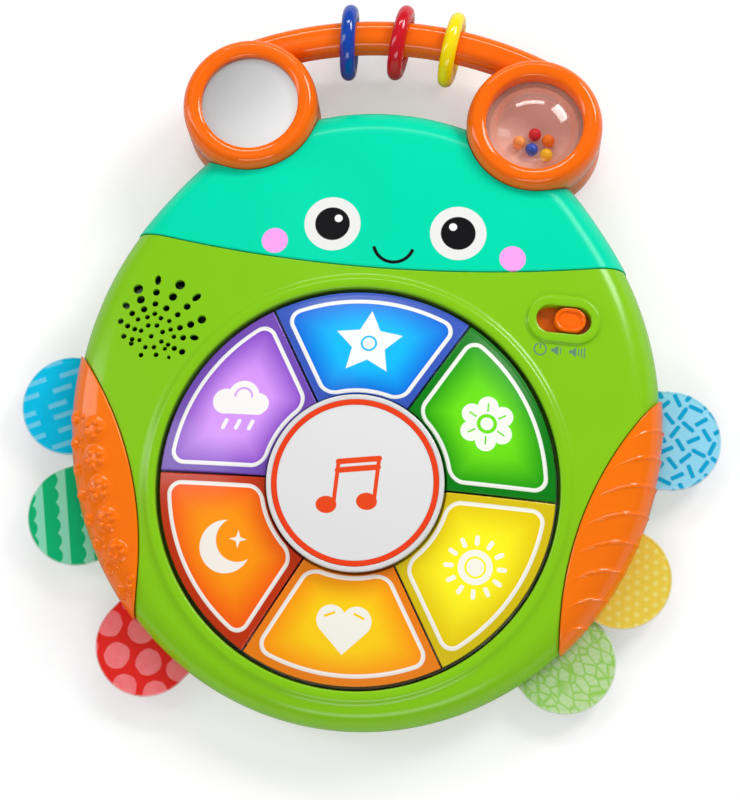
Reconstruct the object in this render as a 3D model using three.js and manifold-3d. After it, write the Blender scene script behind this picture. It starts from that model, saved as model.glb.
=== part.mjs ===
// Musical baby activity toy: a bug-shaped casing with six light-up keys, a carry handle with rings,
// a mirror pod and a rattle pod, soft side grips and fabric tags.
// Millimetres, +Z up. The toy lies on its back: the origin is on the flat back, under the key wheel's
// centre, +Y points to the handle and +Z out of the face.

import * as THREE from 'three';
import { mergeVertices } from 'three/addons/utils/BufferGeometryUtils.js';
import Module from 'manifold-3d';

const wasm = await Module();
wasm.setup();
const { Manifold, Mesh } = wasm;

const degrees = Math.PI / 180;
const tau = Math.PI * 2;

// General clearances and overruns
const fit = 0.3;              // running gap between neighbouring pieces
const overrun = 20;           // how far a cutter runs past what it cuts
const wall = 2.5;             // casing wall

// Casing outline and height: the casing keeps its margins round the key wheel
const wheelRadius = 84.75;
const sideMargin = 40.75;
const northMargin = 84.25;
const southMargin = 15.25;
const centreShare = 0.255;
const bodyHalfWidth = wheelRadius + sideMargin;
const bodyCentreY = bodyHalfWidth * centreShare;
const bodyNorthReach = wheelRadius + northMargin - bodyCentreY;
const bodySouthReach = wheelRadius + southMargin + bodyCentreY;
const shoulderRise = 2.2;
const shoulderTurn = 57;
const shoulderSpread = 9;
const seamHeight = 12;        // joint between back and front casing
const rollReach = 14;         // width of the rolled edge
const rollPower = 2.3;
const rollGapShare = 0.55;
const rimHeight = 32.5;       // height of the key wheel's opening at its centre line
const wheelTilt = 3.88;       // the wheel leans to the south, in degrees
const crownFall = 8.3;        // fall of the face from the wheel's opening to crownReach
const crownMargin = 65.25;
const crownReach = wheelRadius + crownMargin;
const lipRise = 1.5;
const lipWidth = 3.6;
const lipFoot = 5.2;
const bodySteps = 40;
const gripSteps = 80;

// Key wheel, in its own tilted frame
const wellWall = 2.2;
const boardDepth = 12;        // from the opening down to the top of the key board
const boardThickness = 1.6;
const ledgeWidth = 9;
const ledgeThickness = 2;
const keyCount = 6;
const keyRimGap = 1.75;
const keySplit = 0.8;
const keyInnerRadius = 37.6;
const keyLipRadius = 35;
const keyLipHeight = 8;
const keyDomeHeight = 14.28;  // height that the keys' dome would reach on the axis
const keyEdgeHeight = -0.5;
const keyWall = 2.2;
const keySkirtBottom = -5;
const keySkirtInset = 1.6;
const keyTravel = 1.8;
const postRadius = 4;
const matThickness = 1;
const matDomeRadius = 6;
const matDomeHeight = 3;
const keyPostShare = 0.45;    // place of each key's plunger and lamp between its inner and outer edge
const keyLampShare = 0.736;
const keyOuterRadius = wheelRadius - keyRimGap;
const keyPostReach = keyInnerRadius + keyPostShare * (keyOuterRadius - keyInnerRadius);
const keyLampReach = keyInnerRadius + keyLampShare * (keyOuterRadius - keyInnerRadius);
const lampSize = 4;
const lampHeight = 1.6;
const baffleWall = 1.6;
const baffleTop = -4.6;
const hubRadius = 24;
const hubWall = 2;
const turnSteps = 30;

// Centre button
const buttonGap = 0.8;
const buttonRadius = keyInnerRadius - buttonGap;
const buttonUnderside = 12;
const buttonEdgeHeight = 15.9;
const buttonTopHeight = 17.6;
const buttonWall = 2.2;
const buttonTravel = 1.5;
const buttonSkirtRadius = 21.5;
const buttonSkirtBottom = 1;
const buttonRimWidth = 2.2;
const ringWidth = 2.3;
const ringOuterRadius = buttonRadius - buttonRimWidth;
const ringInnerRadius = ringOuterRadius - ringWidth;
const ringDepth = 1.2;

// Face panel
const panelMargin = 9.25;
const panelEdgeY = wheelRadius + panelMargin;
const panelBowInset = 20.5;
const panelBowReach = bodyHalfWidth - panelBowInset;
const panelBow = 10.6;
const panelStep = 0.5;
const tongueReach = 5;
const tongueWall = 2;

// Side grips
const gripArcRadius = 146.7;
const gripWheelGap = 8.25;    // between the wheel's opening and the grip's inner edge
const gripTurn = -11.09;
const gripArcReach = wheelRadius + gripWheelGap + gripArcRadius;
const gripArcX = gripArcReach * Math.cos(gripTurn * degrees);
const gripArcY = gripArcReach * Math.sin(gripTurn * degrees);
const gripProud = 1.3;
const gripThickness = 3.7;
const recessWall = 2.2;
const bumpCount = 6;
const bumpInset = 10.5;
const bumpRadius = 5.2;
const bumpRise = 1.7;
const edgeBumpInset = 1.2;
const edgeBumpRadius = 3.6;
const edgeBumpRise = 1.9;
const bumpRows = [
  { fromShare: 0.767, toShare: 0.153, inset: bumpInset, radius: bumpRadius, rise: bumpRise },
  { fromShare: 0.749, toShare: 0.116, inset: edgeBumpInset, radius: edgeBumpRadius, rise: edgeBumpRise },
];
const ridgeCount = 8;
const ridgeFromShare = 0.879;
const ridgeToShare = 0.088;
const ridgeRise = 0.7;
const ridgeRadius = 1.3;
const ridgeTurnDrop = 9;

// Pods and handle
const podSpreadShare = 0.4916;
const podReachShare = 0.962;
const podX = bodyHalfWidth * podSpreadShare;
const podY = bodyCentreY + bodyNorthReach * podReachShare;
const podRadius = 29.3;
const podTop = 40;
const podCrestRadius = 25.2;
const podShoulder = 32.5;
const podLipRadius = 20.9;
const podLipTop = 38.9;
const podWall = 2.5;
const podBottom = 2;
const podFootRadius = 23;
const podFootRise = 7;
const mirrorLipBottom = 36.5;
const rattleLipBottom = 31;
const partingHeight = 22;
const barArcRadius = 158;
const barCrest = 39.6;        // how far the bar's crest lies north of the pods
const barArcY = podY + barCrest - barArcRadius;
const barWidth = 13.5;
const barHeight = 14.5;
const barCorner = 5;
const barEndShare = 0.8;
const barEndTurn = barEndShare * Math.atan2(podX, podY - barArcY) / degrees;
const barSteps = 14;
const podSteps = 24;

// Mirror and rattle
const mirrorRadius = 22.2;
const mirrorThickness = 1.5;
const backingThickness = 1.4;
const postRingRadius = 20;
const postRingWall = 2.4;
const domeRadius = 20.2;
const domeWall = 1.2;
const domeFlange = 22.2;
const domeFlangeThickness = 1.5;
const domeTop = 41;
const cupFloor = 20.2;
const cupWall = 1.4;
const beadRadius = 2.8;
const beadPlaceShares = [[0.02, -0.02], [-0.02, -0.36], [-0.3, -0.22], [0.32, -0.14], [0.3, -0.46]];
const beadColours = ['#d8202c', '#2f62d8', '#ffb46a', '#ff8a1e', '#ffd92e'];

// Handle fastening
const tabWidth = 18;
const tabReach = 16;
const tabBottom = 8;
const tabThickness = 3;
const tabScrewReach = 39.5;

// Rings on the bar
const ringOuterDiameter = 33.5;
const ringWire = 6.5;
const ringDrop = 2.4;
const ringSag = 0.7;           // how far the rings' centres lie inside the bar's middle line
const ringShares = [-0.375, 0, 0.377];   // places along the bar, west to east
const ringYaws = [6.7, 7.4, 0.2];        // degrees that each ring is turned from square
const ringNames = ['blue', 'red', 'yellow'];
const ringColours = ['#0a4aa8', '#d30a20', '#ffe600'];

// Slide switch
const switchMargin = 27.35;
const switchTurn = 44.1;
const switchX = (wheelRadius + switchMargin) * Math.cos(switchTurn * degrees);
const switchY = (wheelRadius + switchMargin) * Math.sin(switchTurn * degrees);
const collarLength = 31;
const collarWidth = 20;
const collarRise = 1.5;
const collarDepth = 4;
const slotLength = 23.3;
const slotWidth = 11.8;
const knobLength = 13.3;
const knobWidth = 10.4;
const knobOffset = 2.65;       // the knob rests at the loud end
const knobTop = 2;
const slideLength = 32.4;
const slideWidth = 15;
const slideThickness = 1.3;
const switchBoardLength = 52;
const switchBoardWidth = 13;
const switchBoardThickness = 1.6;
const switchBodyLength = 24;
const switchBodyWidth = 9;
const switchBodyHeight = 5;
const switchPostLength = 5;

// Loudspeaker
const speakerMargin = 25.65;
const speakerTurn = 144.6;
const speakerX = (wheelRadius + speakerMargin) * Math.cos(speakerTurn * degrees);
const speakerY = (wheelRadius + speakerMargin) * Math.sin(speakerTurn * degrees);
const speakerRadius = 19.2;
const speakerFlange = 1.2;
const speakerGap = 1.95;
const basketDepth = 10;
const magnetRadius = 11;
const magnetHeight = 6;
const coneWall = 0.8;
const speakerRib = 1.8;
const grilleRays = 9;
const grilleRowReach = [6, 12.4, 18.8];
const grilleHoleSmall = 1.05;
const grilleHoleLarge = 2.1;
const grilleSides = 6;

// Batteries and their bay
const bayY = 50;
const cellRadius = 7.15;
const cellLength = 50.5;
const cellPitch = 15.3;
const cellCount = 3;
const nubLength = 1.4;
const nubEndRadius = 2.75;
const bayLength = 63;
const bayWidth = 49;
const bayWall = 1.6;
const bayCeiling = 19.4;
const doorLength = 68;
const doorWidth = 60;
const doorShift = 2.5;         // the door reaches further north, where its screw is
const doorThickness = 2;
const doorRecess = 0.4;
const doorLedge = 2;
const contactThickness = 0.8;
const contactWidth = 10;
const springRadius = 4.2;
const springTipRadius = 2.6;

// Main board
const mainBoardLength = 70;
const mainBoardWidth = 34;
const mainBoardShare = 0.543;
const mainBoardY = -mainBoardShare * wheelRadius;
const mainBoardZ = 7;
const chips = [                 // sizes, and places as shares of the board's length and width
  { length: 12, width: 12, height: 1.6, alongShare: -0.2, acrossShare: 0.088 },
  { length: 8, width: 5, height: 1.4, alongShare: 0.171, acrossShare: 0.176 },
  { length: 6, width: 6, height: 5, alongShare: 0.371, acrossShare: -0.265 },
];
const boardPostRadius = 2.6;
const boardPostInset = 4;

// Screws
const screwRadius = 1.5;
const screwHole = 1.8;
const screwHeadRadius = 2.8;
const screwHeadHeight = 1.8;
const doorScrewHead = 1.2;     // the door's screw has a flat head that stays inside the door
const doorScrewWeb = 0.6;
const bossRadius = 3.6;
const bossMeet = 14;
const counterbore = 4;
const southScrewGap = 1.5;
const southScrewTurn = -47.6;
const northScrewX = 16;
const northScrewMargin = 53.25;
const southScrewReach = wheelRadius + wellWall + bossRadius + southScrewGap;
const southScrewX = southScrewReach * Math.cos(southScrewTurn * degrees);
const southScrewY = southScrewReach * Math.sin(southScrewTurn * degrees);
const northScrewY = wheelRadius + northScrewMargin;
const caseScrewPlaces = [[southScrewX, southScrewY], [northScrewX, northScrewY]];
const podBossReach = 24.2;
const podBossRadius = 3;

// Fabric tags
const tagRadius = 21.6;
const tagThickness = 1;
const tagHold = 13;
const tagTop = 11.7;
const tagPlaces = [            // turn round the casing's middle, and share of the radius past its outline
  { name: 'tag_left_upper', turn: 181.2, outShare: 0.134, level: 0, colour: '#1fb6e0' },
  { name: 'tag_left_middle', turn: 202.8, outShare: 0.176, level: 0, colour: '#12b070' },
  { name: 'tag_left_lower', turn: 230.8, outShare: 0.185, level: 0, colour: '#e2382f' },
  { name: 'tag_right_upper', turn: 1.3, outShare: 0.23, level: 0, colour: '#7fd4f2' },
  { name: 'tag_right_middle', turn: 332.95, outShare: 0.023, level: 0, colour: '#dcc648' },
  { name: 'tag_right_lower', turn: 314.1, outShare: 0.176, level: 1, colour: '#a9d68a' },
];
const tagSteps = 8;

// Back casing
const backFootInset = 9;
const backProfileShares = [[1, 0], [0.5, 0.16], [0.14, 0.5], [0, 1]];

// Small helpers
const vec = (x, y, z) => new THREE.Vector3(x, y, z);
const steps = (count) => Array.from({ length: count }, (_, i) => i);
const mix = (a, b, t) => a + (b - a) * t;

function finish(colour, roughness = 0.4, metalness = 0, opacity = 1) {
  return new THREE.MeshStandardMaterial({
    color: colour, roughness, metalness, opacity, transparent: opacity < 1,
  });
}

// A closed solid from a geometry, with its faces turned outwards
function solidOf(geometry) {
  const bare = geometry.clone();
  bare.deleteAttribute('normal');
  bare.deleteAttribute('uv');
  const merged = mergeVertices(bare);
  const position = merged.getAttribute('position');
  const index = merged.getIndex().array;
  const corners = [0, 1, 2].map(() => vec(0, 0, 0));
  const kept = [];
  let volume = 0;
  for (let i = 0; i < index.length; i += 3) {
    const [a, b, c] = [index[i], index[i + 1], index[i + 2]];
    if (a === b || b === c || c === a) continue;
    [a, b, c].forEach((at, k) => corners[k].fromBufferAttribute(position, at));
    volume += corners[0].dot(corners[1].clone().cross(corners[2]));
    kept.push([a, b, c]);
  }
  const turned = volume < 0 ? kept.map(([a, b, c]) => [a, c, b]) : kept;
  return new Manifold(new Mesh({
    numProp: 3,
    vertProperties: new Float32Array(position.array),
    triVerts: new Uint32Array(turned.flat()),
  }));
}

function geometryOf(solid) {
  const mesh = solid.getMesh();
  const geometry = new THREE.BufferGeometry();
  geometry.setAttribute('position', new THREE.BufferAttribute(mesh.vertProperties, 3));
  geometry.setIndex(new THREE.BufferAttribute(mesh.triVerts, 1));
  geometry.computeVertexNormals();
  return geometry;
}

const joined = (solids) => solids.reduce((sum, solid) => sum.add(solid));
const cut = (solid, cutters) => cutters.reduce((left, cutter) => left.subtract(cutter), solid);

// Rings of equally many points, listed from the bottom up, become one closed solid
function loft(rings) {
  const count = rings[0].length;
  const points = rings.flat();
  const faces = [];
  const centre = (ring) => ring.reduce((sum, p) => sum.add(p), vec(0, 0, 0)).divideScalar(count);
  const low = points.length;
  points.push(centre(rings[0]), centre(rings[rings.length - 1]));
  const top = (rings.length - 1) * count;
  for (const i of steps(count)) {
    const next = (i + 1) % count;
    faces.push([low, next, i], [low + 1, top + i, top + next]);
    for (const k of steps(rings.length - 1)) {
      const [a, b] = [k * count + i, k * count + next];
      faces.push([a, b, b + count], [a, b + count, a + count]);
    }
  }
  const geometry = new THREE.BufferGeometry();
  const numbers = points.flatMap((p) => [p.x, p.y, p.z]);
  geometry.setAttribute('position', new THREE.Float32BufferAttribute(numbers, 3));
  geometry.setIndex(faces.flat());
  return solidOf(geometry);
}

// A solid of revolution about +Z; the profile lists [radius, height] and closes on itself
function turned(profile, segments = turnSteps) {
  const closed = [...profile, profile[0]].map(([r, h]) => new THREE.Vector2(r, h));
  const geometry = new THREE.LatheGeometry(closed, segments);
  geometry.rotateX(Math.PI / 2);
  return geometry;
}
const turnedSolid = (profile, segments) => solidOf(turned(profile, segments));
const disc = (radius, bottom, top, segments) => (
  turnedSolid([[0, bottom], [radius, bottom], [radius, top], [0, top]], segments));
const tube = (inner, outer, bottom, top, segments) => (
  turnedSolid([[inner, bottom], [outer, bottom], [outer, top], [inner, top]], segments));

function block(length, width, height, x, y, z) {
  const geometry = new THREE.BoxGeometry(length, width, height);
  geometry.translate(x, y, z);
  return solidOf(geometry);
}

function prism(shape, bottom, top, curveSegments = 4) {
  const geometry = new THREE.ExtrudeGeometry(shape, {
    depth: top - bottom, bevelEnabled: false, curveSegments,
  });
  geometry.translate(0, 0, bottom);
  return geometry;
}
const prismSolid = (shape, bottom, top, curveSegments) => solidOf(prism(shape, bottom, top, curveSegments));

const moved = (solid, x, y, z = 0) => solid.translate([x, y, z]);
const spun = (solid, turn) => solid.rotate([0, 0, turn]);

// A stadium outline, centred, with its long side on X
function stadium(length, width) {
  const shape = new THREE.Shape();
  const r = width / 2;
  const half = length / 2 - r;
  shape.absarc(half, 0, r, -Math.PI / 2, Math.PI / 2, false);
  shape.absarc(-half, 0, r, Math.PI / 2, Math.PI * 1.5, false);
  shape.closePath();
  return shape;
}

// The scene graph
const toy = new THREE.Group();
const wheelGroup = new THREE.Group();
wheelGroup.position.set(0, 0, rimHeight);
wheelGroup.rotation.x = wheelTilt * degrees;
toy.add(wheelGroup);
wheelGroup.updateMatrix();

function place(name, solid, material, parent = toy) {
  const mesh = new THREE.Mesh(solid instanceof THREE.BufferGeometry ? solid : geometryOf(solid), material);
  mesh.name = name;
  parent.add(mesh);
  return mesh;
}
const inWheel = (geometry) => solidOf(geometry.clone().applyMatrix4(wheelGroup.matrix));

// Casing surface
const bodyAngles = steps(bodySteps).map((i) => (i / bodySteps) * tau);
const tiltSlope = Math.tan(wheelTilt * degrees);

function outlineReach(angle) {
  const reach = Math.sin(angle) > 0 ? bodyNorthReach : bodySouthReach;
  const elevation = Math.atan2(Math.sin(angle), Math.abs(Math.cos(angle))) / degrees;
  const shoulder = shoulderRise * Math.exp(-(((elevation - shoulderTurn) / shoulderSpread) ** 2));
  return 1 / Math.hypot(Math.cos(angle) / bodyHalfWidth, Math.sin(angle) / reach) + shoulder;
}

const outlinePoint = (angle, inset) => {
  const reach = outlineReach(angle) - inset;
  return [reach * Math.cos(angle), bodyCentreY + reach * Math.sin(angle)];
};

function faceHeight(x, y) {
  const fall = (x * x + y * y - wheelRadius ** 2) / (crownReach ** 2 - wheelRadius ** 2);
  return rimHeight + tiltSlope * y - crownFall * fall;
}

const rollShares = [0.06, 0.26, 0.58, 1];
const innerRollShares = [0.12, 0.5, 1];

// The whole casing as one closed solid, grown by offset, from the height bottom up
function casing(offset, bottom, lipped = false) {
  const shares = offset < 0 ? innerRollShares : rollShares;
  const rings = [bodyAngles.map((angle) => vec(...outlinePoint(angle, -offset), bottom))];
  if (bottom < seamHeight) {
    rings.push(bodyAngles.map((angle) => vec(...outlinePoint(angle, -offset), seamHeight)));
  }
  const rollWidth = (angle) => {
    const gap = Math.hypot(...outlinePoint(angle, -offset)) - wheelRadius;
    return Math.min(rollReach, gap * rollGapShare);
  };
  for (const share of shares) {
    rings.push(bodyAngles.map((angle) => {
      const [x, y] = outlinePoint(angle, share * rollWidth(angle) - offset);
      const rise = (1 - (1 - share) ** rollPower) ** (1 / rollPower);
      return vec(x, y, mix(seamHeight, faceHeight(x, y) + offset, rise));
    }));
  }
  const outer = rings[rings.length - 1];
  const wheelRing = (radius, lift) => bodyAngles.map((angle) => {
    const [x, y] = [radius * Math.cos(angle), radius * Math.sin(angle)];
    return vec(x, y, faceHeight(x, y) + offset + lift);
  });
  const inner = wheelRing(wheelRadius + lipFoot, 0);
  if (offset >= 0) {
    rings.push(outer.map((p, i) => {
      const [x, y] = [mix(p.x, inner[i].x, 0.5), mix(p.y, inner[i].y, 0.5)];
      return vec(x, y, faceHeight(x, y) + offset);
    }));
  }
  if (lipped) {
    rings.push(inner, wheelRing(wheelRadius + lipWidth, lipRise));
    rings.push(wheelRing(wheelRadius - fit, lipRise / 2));
  } else {
    rings.push(wheelRing(wheelRadius, 0));
  }
  return loft(rings);
}

const speakerTop = faceHeight(speakerX - speakerRadius, speakerY) - wall - speakerGap;

// Cutters that several pieces share
const bothSides = (make) => joined([make(-1), make(1)]);
const podCylinders = (clearance) => bothSides((side) => (
  moved(disc(podRadius + clearance, -overrun, podTop + overrun, podSteps), side * podX, podY)));
const gripCylinders = (clearance) => bothSides((side) => (
  moved(disc(gripArcRadius + clearance, -overrun, podTop + overrun, gripSteps), side * gripArcX, gripArcY)));

// Everything north of the face panel's bowed lower edge, moved north by shift
function panelRegion(shift, reach = bodyNorthReach * 2) {
  const shape = new THREE.Shape();
  const half = bodyHalfWidth + overrun;
  const bowAt = (x) => panelEdgeY + shift + panelBow * (x / panelBowReach) ** 2;
  const count = bodySteps / 2;
  shape.moveTo(-half, bowAt(half));
  for (const i of steps(count)) {
    const x = mix(-half, half, (i + 1) / count);
    shape.lineTo(x, bowAt(x));
  }
  shape.lineTo(half, reach);
  shape.lineTo(-half, reach);
  shape.closePath();
  return prismSolid(shape, -overrun, podTop + overrun);
}

const envelope = casing(0, seamHeight, true);
const hollow = casing(-wall, seamHeight - overrun / 2);
const recess = casing(-gripThickness, seamHeight - overrun / 2);
const recessInside = casing(-gripThickness - recessWall, seamHeight - overrun / 2);
const gripCut = gripCylinders(fit / 2);
const gripCutWide = gripCylinders(fit / 2 + recessWall);
const podCut = podCylinders(fit);
const podCutWide = podCylinders(fit + wall);
const wellBottom = -(boardDepth + boardThickness + fit + ledgeThickness);

// A screw from the seat of its head to its tip
function screw(x, y, seat, tip, headHeight = screwHeadHeight) {
  const headUp = tip < seat;
  const head = headUp ? [seat, seat + headHeight] : [seat - headHeight, seat];
  const shaft = headUp ? [tip, seat] : [seat, tip];
  const slot = block(screwHeadRadius * 1.2, screwHeadRadius / 5, headHeight, 0, 0, headUp ? head[1] : head[0]);
  const solid = disc(screwHeadRadius, head[0], head[1], 8).add(disc(screwRadius, shaft[0], shaft[1], 6));
  return moved(solid.subtract(slot), x, y);
}

// Front casing with the speaker grille, the switch collar and the key wheel's well
const switchGroup = new THREE.Group();
const crownSpan = crownReach ** 2 - wheelRadius ** 2;
switchGroup.position.set(switchX, switchY, faceHeight(switchX, switchY));
switchGroup.rotation.y = Math.atan((2 * switchX * crownFall) / crownSpan);
toy.add(switchGroup);
switchGroup.updateMatrix();
const inSwitch = (geometry) => solidOf(geometry.clone().applyMatrix4(switchGroup.matrix));

// The grille's holes fan out from its centre and grow towards the edge
function grilleHoles() {
  const holes = [];
  grilleRowReach.forEach((reach, row) => {
    const step = row === 0 ? 2 : 1;
    for (const ray of steps(grilleRays)) {
      const shifted = ray + (row % 2) / 2;
      const outerGap = row === grilleRowReach.length - 1 && ray % 3 === 1;
      if (ray % step !== 0 || outerGap) continue;
      const angle = (shifted / grilleRays) * tau;
      const radius = mix(grilleHoleSmall, grilleHoleLarge, row / (grilleRowReach.length - 1));
      const hole = disc(radius, 0, rimHeight + overrun, grilleSides);
      holes.push(moved(hole, speakerX + reach * Math.cos(angle), speakerY + reach * Math.sin(angle)));
    }
  });
  return joined(holes);
}

const speakerTopRib = tube(speakerRadius - speakerRib, speakerRadius + speakerRib / 2,
  speakerTop + fit, rimHeight + overrun, 20);
const bossColumn = (x, y, bottom, radius = bossRadius) => moved(disc(radius, bottom, podTop, 10), x, y);
const casePlaces = caseScrewPlaces.flatMap(([x, y]) => [[-x, y], [x, y]]);
const switchPosts = [-1, 1].map((side) => {
  const half = switchBoardLength / 2 - switchPostLength / 2;
  const bottom = -collarDepth - slideThickness - switchBodyHeight - fit * 2;
  const geometry = new THREE.BoxGeometry(switchPostLength, slotWidth / 2, -bottom);
  geometry.translate(side * half, 0, bottom / 2);
  return inSwitch(geometry);
});

function frontWhole() {
  const outer = cut(envelope, [gripCut.subtract(recess), podCut]);
  const inner = cut(hollow, [gripCutWide.subtract(recessInside), podCutWide]);
  const wellOuter = inWheel(turned([[0, wellBottom], [wheelRadius + wellWall, wellBottom],
    [wheelRadius + wellWall, overrun], [0, overrun]], bodySteps));
  const wellHull = casing(0, seamHeight - overrun / 2, true);
  const fittings = joined([
    moved(speakerTopRib, speakerX, speakerY),
    ...switchPosts,
    ...casePlaces.map(([x, y]) => bossColumn(x, y, bossMeet + fit)),
  ]).intersect(casing(-wall / 2, seamHeight));
  const collar = inSwitch(prism(stadium(collarLength, collarWidth), -collarDepth, collarRise));
  const solid = joined([cut(outer, [inner]), fittings, collar, wellOuter.intersect(wellHull)]);
  const wellFloor = wellBottom + ledgeThickness;
  const opening = inWheel(turned([[0, wellFloor], [wheelRadius, wellFloor],
    [wheelRadius, overrun], [0, overrun]], bodySteps));
  const ledgeInner = wheelRadius - ledgeWidth;
  const floorHole = inWheel(turned([[0, wellBottom - overrun / 2], [ledgeInner, wellBottom - overrun / 2],
    [ledgeInner, 0], [0, 0]], bodySteps));
  const slot = inSwitch(prism(stadium(slotLength, slotWidth), -collarDepth - overrun / 4, collarRise + fit));
  const screwHoles = casePlaces.map(([x, y]) => (
    moved(disc(screwHole, seamHeight - overrun / 2, bossMeet + overrun / 2, 8), x, y)));
  return cut(solid, [opening, floorHole, slot, grilleHoles(), ...screwHoles]);
}

const front = frontWhole();
const green = finish('#8ccd1e', 0.35);
const teal = finish('#00dab0', 0.3);
const orange = finish('#ff7300', 0.3);
const white = finish('#f4f4f2', 0.35);
const steel = finish('#b9bcc0', 0.35, 1);
const circuit = finish('#1d7a45', 0.6);
place('front_casing', front.subtract(panelRegion(-fit / 2)), green);

// Face panel with a tongue that lies under the green casing
function facePanel() {
  const skin = cut(casing(panelStep, seamHeight), [casing(-wall, seamHeight - overrun / 2), podCut]);
  const podWalls = podCutWide.intersect(casing(0, seamHeight)).subtract(podCut);
  const below = casing(-wall - fit - tongueWall, seamHeight - overrun / 2);
  const edge = casing(0, seamHeight).subtract(below);
  const thick = edge.intersect(panelRegion(fit / 2)).subtract(panelRegion(tongueWall));
  const under = casing(-wall - fit, seamHeight).subtract(below);
  const tongue = under.intersect(panelRegion(-tongueReach)).subtract(panelRegion(tongueWall));
  const bosses = bothSides((side) => bossColumn(side * northScrewX, northScrewY, bossMeet + fit))
    .intersect(casing(-wall / 2, seamHeight));
  const holes = [-1, 1].map((side) => (
    moved(disc(screwHole, 0, bossMeet + overrun / 2, 8), side * northScrewX, northScrewY)));
  const panel = joined([skin, podWalls, bosses]).intersect(panelRegion(fit / 2));
  const clearOfGrips = gripCylinders(fit + recessWall * 2);
  return cut(joined([panel, thick, tongue.subtract(clearOfGrips)]), holes);
}
place('face_panel', facePanel(), teal);

// Side grips: a thick skin over the recess in the casing
function gripBlank(side) {
  const blank = casing(gripProud, seamHeight + fit)
    .subtract(casing(fit - gripThickness, seamHeight - overrun / 2));
  return blank.intersect(moved(disc(gripArcRadius - fit / 2, 0, podTop, gripSteps), side * gripArcX, gripArcY));
}

// Distance of the outline from the centre line at the height y
function outlineX(y) {
  const reach = y > bodyCentreY ? bodyNorthReach : bodySouthReach;
  return bodyHalfWidth * Math.sqrt(1 - ((y - bodyCentreY) / reach) ** 2);
}
const gripEdgeX = (y) => gripArcX - Math.sqrt(gripArcRadius ** 2 - (y - gripArcY) ** 2);

// Height on the plan between the grip's south tip, share 0, and its north tip, share 1
const gripOutline = steps(bodySteps * bodySteps).map((i) => outlinePoint((i / bodySteps ** 2) * tau, 0))
  .filter(([x, y]) => Math.hypot(x - gripArcX, y - gripArcY) < gripArcRadius).map(([, y]) => y);
const gripY = (share) => mix(Math.min(...gripOutline), Math.max(...gripOutline), share);

function bump(x, y, radius, rise) {
  const dome = new THREE.SphereGeometry(radius, 6, 3);
  dome.scale(1, 1, rise / radius * 1.5);
  dome.translate(x, y, faceHeight(x, y) + gripProud - rise / 2);
  return solidOf(dome);
}

function leftGrip() {
  const bumps = [];
  bumpRows.forEach((row) => steps(bumpCount).forEach((i) => {
    const y = gripY(mix(row.fromShare, row.toShare, i / (bumpCount - 1)));
    const x = -(outlineX(y) - row.inset);
    const middle = -mix(gripEdgeX(y), outlineX(y), 0.45);
    const at = row.inset > row.radius ? Math.min(x, middle) : x + rollReach / 4;
    bumps.push(bump(at, y, row.radius, row.rise));
  }));
  const keep = moved(disc(gripArcRadius - fit / 2, seamHeight + fit, podTop, gripSteps), -gripArcX, gripArcY);
  return gripBlank(-1).add(joined(bumps).intersect(keep).subtract(casing(0, seamHeight)));
}

function rightGrip() {
  const ridges = steps(ridgeCount).map((i) => {
    const y = gripY(mix(ridgeFromShare, ridgeToShare, i / (ridgeCount - 1)));
    const [from, to] = [gripEdgeX(y - ridgeTurnDrop) + 2 * ridgeRadius, outlineX(y)];
    const points = steps(6).map((k) => {
      const t = k / 5;
      const x = mix(from, to, t);
      const along = y - ridgeTurnDrop * (1 - t) ** 2;
      return vec(x, along, faceHeight(x, along) + gripProud + ridgeRise - ridgeRadius);
    });
    const section = new THREE.Shape();
    section.absarc(0, 0, ridgeRadius, 0, tau, false);
    const path = new THREE.CatmullRomCurve3(points);
    return solidOf(new THREE.ExtrudeGeometry(section, {
      steps: 4, extrudePath: path, bevelEnabled: false, curveSegments: 2,
    }));
  });
  const rolled = casing(gripProud + ridgeRise, seamHeight + fit);
  const keep = moved(disc(gripArcRadius - fit / 2, seamHeight + fit, podTop, gripSteps), gripArcX, gripArcY);
  return gripBlank(1).add(joined(ridges).intersect(keep).intersect(rolled).subtract(casing(0, seamHeight)));
}
const softOrange = finish('#ff7a10', 0.55);
place('grip_left', leftGrip(), softOrange);
place('grip_right', rightGrip(), softOrange);

// Fabric tags, clamped in the casing's seam
function tagShape(length, width) {
  const shape = new THREE.Shape();
  shape.moveTo(-length, -width / 2);
  shape.lineTo(0, -width / 2);
  shape.absarc(0, 0, width / 2, -Math.PI / 2, Math.PI / 2, false);
  shape.lineTo(-length, width / 2);
  shape.closePath();
  return shape;
}
const tagLevel = (tag) => tagTop - tag.level * (tagThickness + fit * 2);
const tagPlace = (tag) => outlinePoint(tag.turn * degrees, -tag.outShare * tagRadius);
const tagSolid = (tag, grow, top) => moved(spun(prismSolid(
  tagShape(tagHold + grow * 2, tagRadius * 2 + grow * 2), tagLevel(tag) - tagThickness - grow, top, tagSteps),
tag.turn), ...tagPlace(tag));
tagPlaces.forEach((tag) => place(tag.name, tagSolid(tag, 0, tagLevel(tag)), finish(tag.colour, 0.85)));

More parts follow.
